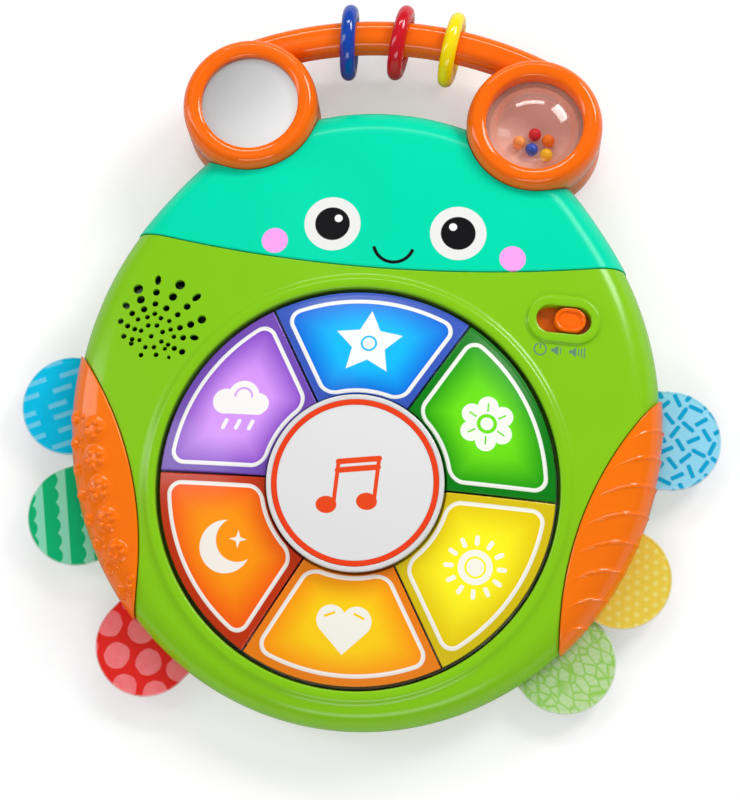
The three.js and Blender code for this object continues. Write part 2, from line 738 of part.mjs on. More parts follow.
// Back casing
function backCasing() {
  const ring = (inset, height) => bodyAngles.map((angle) => vec(...outlinePoint(angle, inset), height));
  const outer = loft(backProfileShares.map(([inset, rise]) => ring(inset * backFootInset, rise * seamHeight)));
  const inner = loft([
    ...backProfileShares.map(([inset, rise]) => (
      ring(wall + inset * backFootInset, mix(wall, seamHeight, rise)))),
    ring(wall, seamHeight + overrun),
  ]);
  const shell = outer.subtract(podCut).subtract(inner.subtract(podCutWide));
  const bayOuter = [bayLength + bayWall * 2, bayWidth + bayWall * 2];
  const bay = block(...bayOuter, bayCeiling - wall / 2, 0, bayY, (bayCeiling + wall / 2) / 2);
  const ledge = block(doorLength + doorLedge * 2, doorWidth + doorLedge * 2, bayWall,
    0, bayY + doorShift, wall + bayWall / 2);
  const bossHoles = casePlaces.map(([x, y]) => moved(disc(screwHole, -overrun, bossMeet + overrun, 8), x, y));
  const bosses = casePlaces.map(([x, y]) => moved(disc(bossRadius, wall / 2, bossMeet, 10), x, y));
  const headHoles = casePlaces.map(([x, y]) => (
    moved(disc(screwHeadRadius + fit, -overrun, counterbore, 8), x, y)));
  const headSeats = casePlaces.map(([x, y]) => (
    moved(disc(screwHeadRadius + fit + wall / 2, wall / 2, counterbore + wall / 2, 10), x, y)));
  const boardPosts = mainBoardCorners().map(([x, y]) => (
    moved(disc(boardPostRadius, wall / 2, mainBoardZ - fit, 8), x, y)));
  const boardHoles = mainBoardCorners().map(([x, y]) => (
    moved(disc(screwHole, mainBoardZ - screwHeadHeight * 2, mainBoardZ, 8), x, y)));
  const tabPosts = tabScrewPlaces().map(([x, y]) => (
    moved(disc(bossRadius, wall / 2, tabBottom - fit, 10), x, y)));
  const tabHoles = tabScrewPlaces().map(([x, y]) => moved(disc(screwHole, wall, tabBottom, 8), x, y));
  const doorScrewBoss = block(bossRadius * 2, bossRadius * 2, bayWall * 3,
    0, doorScrewPlace()[1] + fit, wall + (bayWall * 3) / 2);
  const built = joined([shell, bay, ledge, doorScrewBoss, ...bosses, ...headSeats, ...boardPosts, ...tabPosts]);
  const bayCavity = block(bayLength, bayWidth, bayCeiling - bayWall + overrun,
    0, bayY, (bayCeiling - bayWall - overrun) / 2);
  const doorHole = block(doorLength + fit * 2, doorWidth + fit * 2, wall * 2, 0, bayY + doorShift, 0);
  const doorScrewHole = moved(disc(screwHole, 0, wall + bayWall * 2, 12), ...doorScrewPlace());
  const notches = [...tagPlaces.map((tag) => tagSolid(tag, fit, seamHeight + overrun)),
    ...tabSolids(fit, seamHeight + overrun)];
  return cut(built, [bayCavity, doorHole, doorScrewHole, ...bossHoles, ...headHoles, ...boardHoles,
    ...tabHoles, ...notches]);
}

function mainBoardCorners() {
  const [x, y] = [mainBoardLength / 2 - boardPostInset, mainBoardWidth / 2 - boardPostInset];
  return [[-x, -y], [x, -y], [-x, y], [x, y]].map(([a, b]) => [a, b + mainBoardY]);
}

function doorScrewPlace() {
  return [0, bayY + bayWidth / 2 + bayWall + screwHole + fit];
}

// Direction from each pod to the middle of the casing
const podHeading = (side) => Math.atan2(bodyCentreY - podY, -side * podX);
const tabScrewPlaces = () => [-1, 1].map((side) => {
  const turn = podHeading(side);
  return [side * podX + tabScrewReach * Math.cos(turn), podY + tabScrewReach * Math.sin(turn)];
});
function tabSolids(grow, top) {
  return [-1, 1].map((side) => {
    const inner = podRadius - podWall;
    const outer = podRadius + tabReach + grow;
    const tab = block(outer - inner, tabWidth + grow * 2, top - tabBottom + grow,
      (inner + outer) / 2, 0, (top + tabBottom - grow) / 2);
    return moved(spun(tab, podHeading(side) / degrees), side * podX, podY);
  });
}
place('back_casing', backCasing(), green);

// Battery door and its screw
const doorScrewSeat = doorRecess + doorThickness - doorScrewWeb;
function batteryDoor() {
  const plate = block(doorLength, doorWidth, doorThickness,
    0, bayY + doorShift, doorRecess + doorThickness / 2);
  const hole = moved(disc(screwHole, -overrun, overrun, 12), ...doorScrewPlace());
  const headHole = moved(disc(screwHeadRadius + fit / 2, -overrun, doorScrewSeat, 12), ...doorScrewPlace());
  const grooves = steps(5).map((i) => block(bayWidth / 2, bayWall / 2, doorThickness / 2,
    0, bayY - doorWidth / 4 + i * bayWall * 2, doorRecess));
  return cut(plate, [hole, headHole, ...grooves]);
}
place('battery_door', batteryDoor(), green);
place('door_screw', screw(...doorScrewPlace(), doorScrewSeat - fit / 2, wall + bayWall * 2 - fit,
  doorScrewHead), steel);

// Cells and their contacts
const cellZ = doorRecess + doorThickness + fit + cellRadius;
const cellY = (i) => bayY + (i - (cellCount - 1) / 2) * cellPitch;
const cellWay = (i) => (i % 2 === 0 ? 1 : -1);
steps(cellCount).forEach((i) => {
  const half = cellLength / 2;
  const profile = [[0, -half], [cellRadius, -half], [cellRadius, half - nubLength],
    [nubEndRadius, half - nubLength], [nubEndRadius, half], [0, half]];
  const cell = turned(profile, 16);
  cell.rotateY((cellWay(i) * Math.PI) / 2);
  const mesh = place(`battery_${i + 1}`, solidOf(cell), finish('#2b2b2e', 0.4, 0.3));
  mesh.position.set(0, cellY(i), cellZ);
});

function contact(side, first, last) {
  const springRoom = (bayLength - cellLength) / 2 - contactThickness - fit * 2;
  const plateX = side * (bayLength / 2 - contactThickness / 2 - fit / 2);
  const plate = block(contactThickness, contactWidth + (last - first) * cellPitch, cellRadius * 1.6,
    plateX, (cellY(first) + cellY(last)) / 2, cellZ);
  const springs = steps(last - first + 1).map((i) => {
    const cone = turned([[0, 0], [springRadius, 0], [springTipRadius, springRoom], [0, springRoom]], 12);
    cone.rotateY((-side * Math.PI) / 2);
    cone.translate(plateX, cellY(first + i), cellZ);
    return solidOf(cone);
  });
  return joined([plate, ...springs]);
}
place('contact_east_single', contact(1, 0, 0), steel);
place('contact_east_pair', contact(1, 1, 2), steel);
place('contact_west_pair', contact(-1, 0, 1), steel);
place('contact_west_single', contact(-1, 2, 2), steel);

// Main board with its chips
function mainBoard() {
  const plate = block(mainBoardLength, mainBoardWidth, boardThickness,
    0, mainBoardY, mainBoardZ + boardThickness / 2);
  const boardTopZ = mainBoardZ + boardThickness;
  const cases = chips.map(({ length, width, height, alongShare, acrossShare }) => (
    block(length, width, height, alongShare * mainBoardLength, mainBoardY + acrossShare * mainBoardWidth,
      boardTopZ + height / 2 - fit / 3)));
  const holes = mainBoardCorners().map(([x, y]) => (
    moved(disc(screwHole, 0, mainBoardZ + overrun / 2, 8), x, y)));
  return cut(joined([plate, ...cases]), holes);
}
place('main_board', mainBoard(), circuit);
mainBoardCorners().filter((_, i) => i % 3 === 0).forEach(([x, y], i) => {
  const seat = mainBoardZ + boardThickness + fit / 2;
  place(`board_screw_${i + 1}`, screw(x, y, seat, mainBoardZ - screwHeadHeight), steel);
});
casePlaces.forEach(([x, y], i) => {
  place(`case_screw_${i + 1}`, screw(x, y, counterbore - fit / 2, bossMeet + overrun / 2 - fit), steel);
});
tabScrewPlaces().forEach(([x, y], i) => {
  place(`handle_screw_${i + 1}`, screw(x, y, tabBottom + tabThickness + fit / 2, wall * 1.6), steel);
});

// Key board, lamps, rubber mat and light baffle, all in the wheel's frame
const boardTop = -boardDepth;
const keyAngle = (i) => 90 - i * (360 / keyCount);
const boardRadius = wheelRadius - fit * 2;

function keyBoard() {
  const lamps = steps(keyCount).map((i) => spun(block(lampSize, lampSize, lampHeight * 2,
    keyLampReach, 0, boardTop), keyAngle(i)));
  return joined([disc(boardRadius, boardTop - boardThickness, boardTop, bodySteps), ...lamps]);
}
place('key_board', keyBoard(), circuit, wheelGroup);

function keyMat() {
  const sheet = disc(boardRadius - fit, boardTop + fit, boardTop + fit + matThickness, bodySteps);
  const dome = (reach) => turnedSolid([[0, 0], [matDomeRadius, 0], [matDomeRadius * 0.7, matDomeHeight],
    [0, matDomeHeight]], 6).translate([reach, 0, boardTop + fit]);
  const domes = steps(keyCount).map((i) => spun(dome(keyPostReach), keyAngle(i)));
  const windows = steps(keyCount).map((i) => spun(block(lampSize + 2 * fit, lampSize + 2 * fit, overrun / 4,
    keyLampReach, 0, boardTop), keyAngle(i)));
  return cut(joined([sheet, dome(0), ...domes]), windows);
}
place('key_mat', keyMat(), finish('#d9d9d6', 0.8), wheelGroup);

const matTop = boardTop + fit + matThickness;
const domeTopHeight = boardTop + fit + matDomeHeight;
function baffle() {
  const bottom = matTop + fit;
  const outer = wheelRadius - keyRimGap - keyWall - fit * 3;
  const walls = steps(keyCount).map((i) => spun(block(outer - hubRadius, baffleWall, baffleTop - bottom,
    (outer + hubRadius) / 2, 0, (baffleTop + bottom) / 2), keyAngle(i) + 180 / keyCount));
  const hub = tube(hubRadius - hubWall, hubRadius + hubWall / 2, bottom, buttonSkirtBottom + keyTravel);
  return joined([hub, ...walls]);
}
place('light_baffle', baffle(), white, wheelGroup);

// Keys: six equal domed sectors with a skirt and a plunger
const domeAt = (radius) => {
  return keyDomeHeight - (keyDomeHeight - keyEdgeHeight) * (radius / keyOuterRadius) ** 2;
};

function wedge(inset) {
  const half = Math.PI / keyCount;
  const reach = wheelRadius * 1.3;
  const apex = inset / Math.sin(half);
  const shape = new THREE.Shape();
  shape.moveTo(apex, 0);
  shape.lineTo(apex + reach * Math.cos(half), -reach * Math.sin(half));
  shape.lineTo(apex + reach * Math.cos(half), reach * Math.sin(half));
  shape.closePath();
  return prismSolid(shape, -overrun, overrun);
}

function key() {
  const rows = 3;
  const domeRow = (inset) => steps(rows + 1).map((i) => {
    const r = mix(keyOuterRadius - inset, keyInnerRadius + inset, i / rows);
    return [r, domeAt(r) - inset];
  });
  const cap = turnedSolid([[keyLipRadius, keySkirtBottom], [keyOuterRadius, keySkirtBottom], ...domeRow(0),
    [keyInnerRadius, keyLipHeight], [keyLipRadius, keyLipHeight]]);
  const inside = turnedSolid([[keyLipRadius + keyWall, -overrun], [keyOuterRadius - keyWall, -overrun],
    ...domeRow(keyWall), [keyInnerRadius + keyWall, keyLipHeight - keyWall],
    [keyLipRadius + keyWall, keyLipHeight - keyWall]]);
  const underside = turnedSolid([[0, -overrun], [wheelRadius, -overrun], [wheelRadius, keySkirtBottom / 2],
    [0, keySkirtBottom / 2]]);
  const flankCut = underside.subtract(wedge(keySplit / 2 + keySkirtInset));
  const shell = cap.intersect(wedge(keySplit / 2)).subtract(flankCut)
    .subtract(inside.intersect(wedge(keySplit / 2 + keySkirtInset + keyWall * 0.6)));
  const plunger = disc(postRadius, domeTopHeight + keyTravel + fit, domeAt(keyPostReach) - keyWall / 2, 12);
  return shell.add(moved(plunger, keyPostReach, 0));
}
const keyGeometry = geometryOf(key());
const keyNames = ['blue', 'green', 'yellow', 'amber', 'orange', 'purple'];
const keyColours = ['#1f9cf0', '#55c515', '#f4de1c', '#ffae14', '#ff7a10', '#b07ae0'];
keyNames.forEach((name, i) => {
  const mesh = place(`key_${name}`, keyGeometry.clone(), finish(keyColours[i], 0.25), wheelGroup);
  mesh.rotation.z = keyAngle(i) * degrees;
});

// Centre button with its coloured ring
function centreButton() {
  const groove = buttonEdgeHeight - ringDepth;
  const dome = (r) => mix(buttonTopHeight, buttonEdgeHeight, (r / ringInnerRadius) ** 2);
  const top = steps(3).map((i) => {
    const r = mix(ringInnerRadius, 0, i / 2);
    return [r, dome(r)];
  });
  const cap = turnedSolid([[0, buttonUnderside], [buttonRadius, buttonUnderside],
    [buttonRadius, buttonEdgeHeight - ringDepth / 2], [buttonRadius - ringDepth / 2, buttonEdgeHeight],
    [ringOuterRadius, buttonEdgeHeight], [ringOuterRadius, groove], [ringInnerRadius, groove], ...top]);
  const inner = buttonSkirtRadius - buttonWall;
  const inside = turnedSolid([[0, buttonUnderside - fit], [inner, buttonUnderside - fit],
    [inner, buttonEdgeHeight - buttonWall], [0, buttonTopHeight - buttonWall]]);
  const skirt = tube(inner, buttonSkirtRadius, buttonSkirtBottom, buttonUnderside + buttonWall / 2);
  const plunger = disc(postRadius, domeTopHeight + buttonTravel + fit, buttonTopHeight - buttonWall / 2, 12);
  return cut(cap, [inside]).add(skirt).add(plunger);
}
place('centre_button', centreButton(), white, wheelGroup);
place('button_ring', tube(ringInnerRadius + fit / 3, ringOuterRadius - fit / 3,
  buttonEdgeHeight - ringDepth + fit / 3, buttonEdgeHeight + fit / 3), finish('#f03c0a', 0.3), wheelGroup);

// Slide switch, in the frame of its patch of casing
function switchKnob() {
  const slideTop = -collarDepth - fit;
  const plate = prismSolid(stadium(slideLength, slideWidth), slideTop - slideThickness, slideTop);
  const button = prismSolid(stadium(knobLength, knobWidth), slideTop - slideThickness / 2, knobTop);
  const dish = prismSolid(stadium(knobLength * 0.62, knobWidth * 0.58), knobTop - wall / 5, knobTop + overrun);
  return plate.add(button.subtract(dish));
}
const knobMesh = place('switch_knob', switchKnob(), orange, switchGroup);
knobMesh.position.x = knobOffset;

function switchBody() {
  const top = -collarDepth - slideThickness - fit * 2;
  const housing = block(switchBodyLength, switchBodyWidth, switchBodyHeight, 0, 0, top - switchBodyHeight / 2);
  const board = block(switchBoardLength, switchBoardWidth, switchBoardThickness,
    0, 0, top - switchBodyHeight - fit - switchBoardThickness / 2);
  const seat = block(switchBodyLength / 2, switchBodyWidth / 2, fit * 4, 0, 0, top - switchBodyHeight);
  return joined([housing, board, seat]);
}
place('switch_body', switchBody(), finish('#3a3a3c', 0.6), switchGroup);

// Loudspeaker
const speakerBase = speakerTop - speakerFlange - basketDepth;
place('speaker_frame', turnedSolid([
  [0, speakerBase - magnetHeight], [magnetRadius, speakerBase - magnetHeight], [magnetRadius, speakerBase],
  [speakerRadius - speakerRib * 2, speakerTop - speakerFlange], [speakerRadius, speakerTop - speakerFlange],
  [speakerRadius, speakerTop], [speakerRadius - speakerRib * 1.4, speakerTop],
  [magnetRadius * 0.8, speakerBase + speakerFlange], [0, speakerBase + speakerFlange],
]).translate([speakerX, speakerY, 0]), steel);
const coneBase = speakerBase + speakerFlange + fit;
const coneEdge = speakerRadius - speakerRib * 2.3;
place('speaker_cone', turnedSolid([
  [0, coneBase + coneWall], [magnetRadius * 0.6, coneBase + coneWall],
  [coneEdge, speakerTop - fit - coneWall], [coneEdge, speakerTop - fit],
  [magnetRadius * 0.5, coneBase + coneWall * 2.6], [0, coneBase + coneWall * 4],
]).translate([speakerX, speakerY, 0]), finish('#1b1b1d', 0.9));

// Handle: a curved bar between two pods, moulded as a front and a back half
function bar(bottom, top, roundTop) {
  const [half, corner] = [barWidth / 2, barCorner];
  const arc = (k) => (k / 2) * (Math.PI / 2);
  const rounded = steps(3).map((k) => (
    [half - corner + corner * Math.cos(arc(k)), corner * Math.sin(arc(k)) - corner]));
  const right = rounded.map(([x, z]) => [x, roundTop ? top + z : bottom - z]);
  const left = [...right].reverse().map(([x, z]) => [-x, z]);
  const flat = roundTop ? [[-half, bottom], [half, bottom]] : [[-half, top], [half, top]];
  const outline = [...flat, ...right, ...left];
  const rings = steps(barSteps + 1).map((i) => {
    const turn = mix(-barEndTurn, barEndTurn, i / barSteps) * degrees;
    return outline.map(([across, z]) => {
      const reach = barArcRadius + across;
      return vec(reach * Math.sin(turn), barArcY + reach * Math.cos(turn), z);
    });
  });
  const ends = [-1, 1].map((side) => {
    const turn = side * barEndTurn * degrees;
    const cap = turnedSolid([[0, bottom], ...(roundTop
      ? [[half, bottom], ...rounded.map(([x, z]) => [x, top + z])]
      : [...[...rounded].reverse().map(([x, z]) => [x, bottom - z]), [half, top]]),
    [0, top]], 12);
    return moved(cap, barArcRadius * Math.sin(turn), barArcY + barArcRadius * Math.cos(turn));
  });
  return joined([loft(rings), ...ends]);
}

const podAt = (solid, side) => moved(solid, side * podX, podY);
const podBoss = (side) => {
  const turn = podHeading(side);
  return [-podBossReach * Math.cos(turn), -podBossReach * Math.sin(turn)];
};

function podFront(side, lipBottom) {
  const base = partingHeight + fit / 2;
  const crest = steps(3).map((i) => {
    const t = (i / 2) * (Math.PI / 2);
    const reach = podCrestRadius + (podRadius - podCrestRadius) * Math.cos(t);
    return [reach, podShoulder + (podTop - podShoulder) * Math.sin(t)];
  });
  const lip = Math.min(podLipTop, lipBottom + podWall);
  const ring = turnedSolid([[podLipRadius, base], [podRadius, base], ...crest,
    [mix(podLipRadius, podCrestRadius, 0.4), mix(podTop, podLipTop, 0.3)],
    [podLipRadius, podLipTop]], podSteps);
  const cavity = tube(0, podRadius - podWall, 0, lipBottom, podSteps);
  const boss = moved(disc(podBossRadius, base, lip, 8), ...podBoss(side));
  const seat = disc(domeFlange + fit, 0, lipBottom, podSteps);
  const hole = moved(disc(screwHole, 0, partingHeight + overrun / 3, 8), ...podBoss(side));
  return ring.subtract(cavity).add(boss.subtract(seat)).subtract(hole);
}

function podBack(side, postTop) {
  const top = partingHeight - fit / 2;
  const foot = [[podFootRadius, podBottom], [mix(podFootRadius, podRadius, 0.7), podBottom + podFootRise * 0.3],
    [podRadius, podBottom + podFootRise]];
  const outer = turnedSolid([[0, podBottom], ...foot, [podRadius, top], [0, top]], podSteps);
  const cavity = turnedSolid([[0, podBottom + podWall], [podFootRadius, podBottom + podWall],
    [podRadius - podWall, podBottom + podFootRise], [podRadius - podWall, overrun * 2],
    [0, overrun * 2]], podSteps);
  const post = tube(postRingRadius - postRingWall, postRingRadius, podBottom + podWall / 2,
    postTop, podSteps / 2);
  const boss = moved(disc(podBossRadius, podBottom + podWall, top, 8), ...podBoss(side));
  const hole = moved(disc(screwHole, -overrun, top + fit, 8), ...podBoss(side));
  const head = moved(disc(screwHeadRadius + fit, -overrun, podBottom + podFootRise, 8), ...podBoss(side));
  const built = joined([outer.subtract(cavity), post, boss])
    .intersect(disc(podRadius, 0, overrun * 2, podSteps));
  return cut(built, [hole, head]);
}

const podHollows = (bottom, top) => (
  bothSides((side) => podAt(disc(podRadius - podWall, bottom, top, podSteps), side)));
const barFront = () => bar(partingHeight + fit / 2, partingHeight + barHeight / 2, true);
const barBack = () => bar(partingHeight - barHeight / 2, partingHeight - fit / 2, false);
place('handle_front', joined([
  podAt(podFront(-1, mirrorLipBottom), -1), podAt(podFront(1, rattleLipBottom), 1),
  barFront().subtract(podHollows(0, podTop)),
]), orange);
place('handle_back', joined([
  podAt(podBack(-1, mirrorLipBottom - mirrorThickness - backingThickness - fit * 3), -1),
  podAt(podBack(1, cupFloor - cupWall - fit), 1),
  barBack().subtract(podHollows(0, podTop)),
  ...tabSolids(0, tabBottom + tabThickness).map((tab, i) => (
    tab.subtract(moved(disc(screwHole, 0, podTop, 12), ...tabScrewPlaces()[i])))),
]), orange);
[-1, 1].forEach((side, i) => {
  const solid = screw(...podBoss(side), podBottom + podFootRise - fit / 2, partingHeight + overrun / 3 - fit);
  place(`pod_screw_${i + 1}`, podAt(solid, side), steel);
});

// Mirror in the west pod
const mirrorTop = mirrorLipBottom - fit;
place('mirror', podAt(disc(mirrorRadius, mirrorTop - mirrorThickness, mirrorTop, podSteps), -1),
  finish('#e8ecee', 0.05, 1));
place('mirror_backing', podAt(disc(mirrorRadius, mirrorTop - mirrorThickness - fit - backingThickness,
  mirrorTop - mirrorThickness - fit, podSteps), -1), white);

// Rattle in the east pod: a clear dome over a cup with loose beads
function rattleDome() {
  const flangeTop = rattleLipBottom - fit;
  const flangeBottom = flangeTop - domeFlangeThickness;
  const rise = domeTop - flangeTop;
  const shell = (inset) => (t) => (
    [(domeRadius - inset) * Math.cos(t), flangeTop + (rise - inset) * Math.sin(t)]);
  const arc = steps(5).map((i) => (i / 4) * (Math.PI / 2));
  return turnedSolid([[domeRadius - domeWall, flangeBottom], [domeFlange, flangeBottom],
    [domeFlange, flangeTop], ...arc.map(shell(0)), ...[...arc].reverse().map(shell(domeWall))], podSteps);
}
place('rattle_dome', podAt(rattleDome(), 1), finish('#ffffff', 0.05, 0, 0.3));

const cupTop = rattleLipBottom - fit * 2 - domeFlangeThickness;
place('rattle_cup', podAt(turnedSolid([[0, cupFloor - cupWall], [domeRadius, cupFloor - cupWall],
  [domeRadius, cupTop - cupWall], [domeFlange, cupTop - cupWall], [domeFlange, cupTop],
  [domeRadius - cupWall, cupTop], [domeRadius - cupWall, cupFloor], [0, cupFloor]], podSteps), 1),
finish('#f6e6dc', 0.2, 0, 0.6));

beadPlaceShares.forEach(([x, y], i) => {
  const bead = new THREE.SphereGeometry(beadRadius, 8, 6);
  bead.translate(podX + x * domeRadius, podY + y * domeRadius, cupFloor + fit / 3 + beadRadius);
  place(`bead_${i + 1}`, solidOf(bead), finish(beadColours[i], 0.3));
});

// Rings hang on the bar
const ringCentreReach = barArcRadius - ringSag;
const ringCentreZ = partingHeight - ringDrop;
ringShares.forEach((share, i) => {
  const turn = share * barEndTurn;
  const ring = new THREE.TorusGeometry((ringOuterDiameter - ringWire) / 2, ringWire / 2, 8, 20);
  ring.rotateY(Math.PI / 2);
  const mesh = place(`ring_${ringNames[i]}`, geometryOf(solidOf(ring)), finish(ringColours[i], 0.2));
  mesh.position.set(ringCentreReach * Math.sin(turn * degrees),
    barArcY + ringCentreReach * Math.cos(turn * degrees), ringCentreZ);
  mesh.rotation.z = (-turn - ringYaws[i]) * degrees;
});

export default toy;
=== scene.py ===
import math

import bmesh
import bpy
import numpy as np
from mathutils import Matrix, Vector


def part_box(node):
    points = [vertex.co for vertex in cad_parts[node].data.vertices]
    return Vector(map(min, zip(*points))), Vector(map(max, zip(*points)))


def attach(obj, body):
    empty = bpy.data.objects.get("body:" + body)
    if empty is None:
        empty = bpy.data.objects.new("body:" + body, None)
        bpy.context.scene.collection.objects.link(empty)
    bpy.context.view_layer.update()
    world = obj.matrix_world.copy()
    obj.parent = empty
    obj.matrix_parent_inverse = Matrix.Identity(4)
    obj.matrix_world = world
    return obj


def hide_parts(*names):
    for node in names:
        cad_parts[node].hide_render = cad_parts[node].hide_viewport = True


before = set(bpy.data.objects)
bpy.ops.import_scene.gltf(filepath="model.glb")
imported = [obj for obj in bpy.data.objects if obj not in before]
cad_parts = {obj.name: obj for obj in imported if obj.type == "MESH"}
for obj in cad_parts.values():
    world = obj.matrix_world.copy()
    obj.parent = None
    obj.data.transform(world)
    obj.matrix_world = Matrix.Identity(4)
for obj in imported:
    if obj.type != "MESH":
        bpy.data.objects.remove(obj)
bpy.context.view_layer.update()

# Lengths are in millimetres, and a mesh is turned into metres when it is made
MM = 0.001
TAU = 2 * math.pi
ALIKE, THIN = 2e-7, 1e-8       # in metres: corners to merge, and edges to drop


def low(node, axis):
    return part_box(node)[0][axis] / MM


def high(node, axis):
    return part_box(node)[1][axis] / MM


def middle(node, axis):
    return (low(node, axis) + high(node, axis)) / 2


# Casing, taken from the model where the model shows it
FIT = 0.3
WALL = 2.5
WHEEL_RADIUS = 84.75
HALF_WIDTH = high("back_casing", 0)
CENTRE_Y = HALF_WIDTH * 0.255
NORTH_REACH = WHEEL_RADIUS + 84.25 - CENTRE_Y
SOUTH_REACH = CENTRE_Y - low("back_casing", 1)
SHOULDER_RISE, SHOULDER_TURN, SHOULDER_SPREAD = 2.2, 57, 9
SEAM_HEIGHT = 12.0
ROLL_REACH, ROLL_POWER, ROLL_GAP_SHARE = 14.0, 2.3, 0.55
RIM_HEIGHT = 32.5
WHEEL_TILT = math.radians(3.88)
CROWN_FALL = 8.3
CROWN_REACH = WHEEL_RADIUS + 65.25
PANEL_EDGE_Y, PANEL_BOW, PANEL_BOW_REACH, PANEL_STEP = WHEEL_RADIUS + 9.25, 10.6, HALF_WIDTH - 20.5, 0.5
GRIP_RADIUS = 146.7
GRIP_REACH = WHEEL_RADIUS + 8.25 + GRIP_RADIUS
GRIP_X = GRIP_REACH * math.cos(math.radians(11.09))
GRIP_Y = -GRIP_REACH * math.sin(math.radians(11.09))
GRIP_PROUD, GRIP_THICKNESS = 1.3, 3.7
POD_X, POD_Y = middle("mirror_backing", 0) * -1, middle("mirror_backing", 1)
POD_RADIUS = 29.3
EDGE = 0.5                     # rounding of a moulded edge
SEARCH_REACH, SEARCH_STEPS = 230.0, 50
EASE = 2.2                     # how much closer together rows of points lie at an edge

# Wheel
KEY_COLOURS = ("blue", "green", "yellow", "amber", "orange", "purple")
KEY_OUTER, KEY_INNER, KEY_LIP = WHEEL_RADIUS - 1.75, 37.6, 35.0
KEY_WALL, KEY_SKIRT, KEY_GAP = 2.2, -5.0, 0.4
OUTLINE_INNER, OUTLINE_OUTER, OUTLINE_SIDE, OUTLINE_WIDTH = 39.15, 78.75, 4.3, 1.7
MOTIF_REACH = 60.0
BUTTON_RADIUS = 36.8
RING_OUTER, RING_INNER = 34.6, 32.3

# Handle
BAR_ARC = 158.0
BAR_Y = POD_Y + 39.6 - BAR_ARC
BAR_WIDTH, BAR_HEIGHT, BAR_CORNER = 13.5, 14.5, 5.0
BAR_TURN = 0.8 * math.atan2(POD_X, POD_Y - BAR_Y)
PARTING = 22.0

# Tags: turn round the casing's middle in degrees, share of the radius past its outline, and layer
TAG_RADIUS, TAG_HOLD, TAG_TOP, TAG_THICKNESS = 21.6, 13.0, 11.7, 1.0
TAGS = {
    "tag_left_upper": (181.2, 0.134, 0),
    "tag_left_middle": (202.8, 0.176, 0),
    "tag_left_lower": (230.8, 0.185, 0),
    "tag_right_upper": (1.3, 0.23, 0),
    "tag_right_middle": (332.95, 0.023, 0),
    "tag_right_lower": (314.1, 0.176, 1),
}


# The casing's surface

def outline_reach(turn):
    """Distance of the outline from the casing's middle."""
    reach = np.where(np.sin(turn) > 0, NORTH_REACH, SOUTH_REACH)
    elevation = np.degrees(np.arctan2(np.sin(turn), np.abs(np.cos(turn))))
    shoulder = SHOULDER_RISE * np.exp(-(((elevation - SHOULDER_TURN) / SHOULDER_SPREAD) ** 2))
    return 1 / np.hypot(np.cos(turn) / HALF_WIDTH, np.sin(turn) / reach) + shoulder


def edge_inset(x, y, grow=0.0):
    """How far a place lies inside the outline, which may be grown."""
    return outline_reach(np.arctan2(y - CENTRE_Y, x)) + grow - np.hypot(x, y - CENTRE_Y)


def face_height(x, y):
    fall = (x * x + y * y - WHEEL_RADIUS ** 2) / (CROWN_REACH ** 2 - WHEEL_RADIUS ** 2)
    return RIM_HEIGHT + math.tan(WHEEL_TILT) * y - CROWN_FALL * fall


def skin(x, y, grow=0.0):
    """Height of the casing over a place on the plan, rolled down to the seam at the outline."""
    turn = np.arctan2(y - CENTRE_Y, x)
    reach = outline_reach(turn) + grow
    inset = reach - np.hypot(x, y - CENTRE_Y)
    gap = np.hypot(reach * np.cos(turn), CENTRE_Y + reach * np.sin(turn)) - WHEEL_RADIUS
    share = np.clip(inset / np.minimum(ROLL_REACH, ROLL_GAP_SHARE * gap), 0, 1)
    rise = (1 - (1 - share) ** ROLL_POWER) ** (1 / ROLL_POWER)
    return SEAM_HEIGHT + (face_height(x, y) + grow - SEAM_HEIGHT) * rise


def seam_y(x):
    """Lower edge of the face panel."""
    return PANEL_EDGE_Y + PANEL_BOW * (x / PANEL_BOW_REACH) ** 2


def grip_gap(x, y):
    """How far a place lies outside the arc that bounds a grip."""
    return np.hypot(np.abs(x) - GRIP_X, y - GRIP_Y) - GRIP_RADIUS


def far_edge(turns, inside):
    """Distance from the wheel's middle, along each ray, to the last place that is inside."""
    first, last = np.full(turns.shape, WHEEL_RADIUS), np.full(turns.shape, SEARCH_REACH)
    for _ in range(SEARCH_STEPS):
        half = (first + last) / 2
        good = inside(half * np.cos(turns), half * np.sin(turns))
        first, last = np.where(good, half, first), np.where(good, last, half)
    return first


def crossing(first, last, gap):
    """Turn between two others at which a gap changes its sign."""
    rising = gap(np.array([last]))[0] > 0
    for _ in range(SEARCH_STEPS):
        half = (first + last) / 2
        if (gap(np.array([half]))[0] > 0) == rising:
            last = half
        else:
            first = half
    return (first + last) / 2


def spread(first, last, count):
    """Turns from first to last, closer together at both ends."""
    share = (1 - np.cos(np.linspace(0, math.pi, count))) / 2
    return first + (last - first) * share


def both_ends(count):
    """Shares from 0 to 1, closer together at both ends."""
    share = np.linspace(0, 1, count)
    return np.where(share < 0.5, 0.5 * (2 * share) ** EASE, 1 - 0.5 * (2 - 2 * share) ** EASE)


def rounding(distance, radius=EDGE):
    """Drop of a rounded edge at a distance from it."""
    near = np.clip(radius - distance, 0, radius)
    return radius - np.sqrt(radius ** 2 - near ** 2)


def outline_edge(grow=0.0):
    return lambda turns: far_edge(turns, lambda x, y: edge_inset(x, y, grow) > 0)


def seam_edge(shift=0.0):
    return lambda turns: far_edge(turns, lambda x, y: y < seam_y(x) + shift)


def grip_edge(shift=0.0):
    return lambda turns: far_edge(turns, lambda x, y: grip_gap(x, y) > shift)


def outline_meets(edge, first, last):
    """Turn between two others, in degrees, at which another edge crosses the outline."""
    return crossing(math.radians(first), math.radians(last), lambda turn: outline_edge()(turn) - edge(turn))


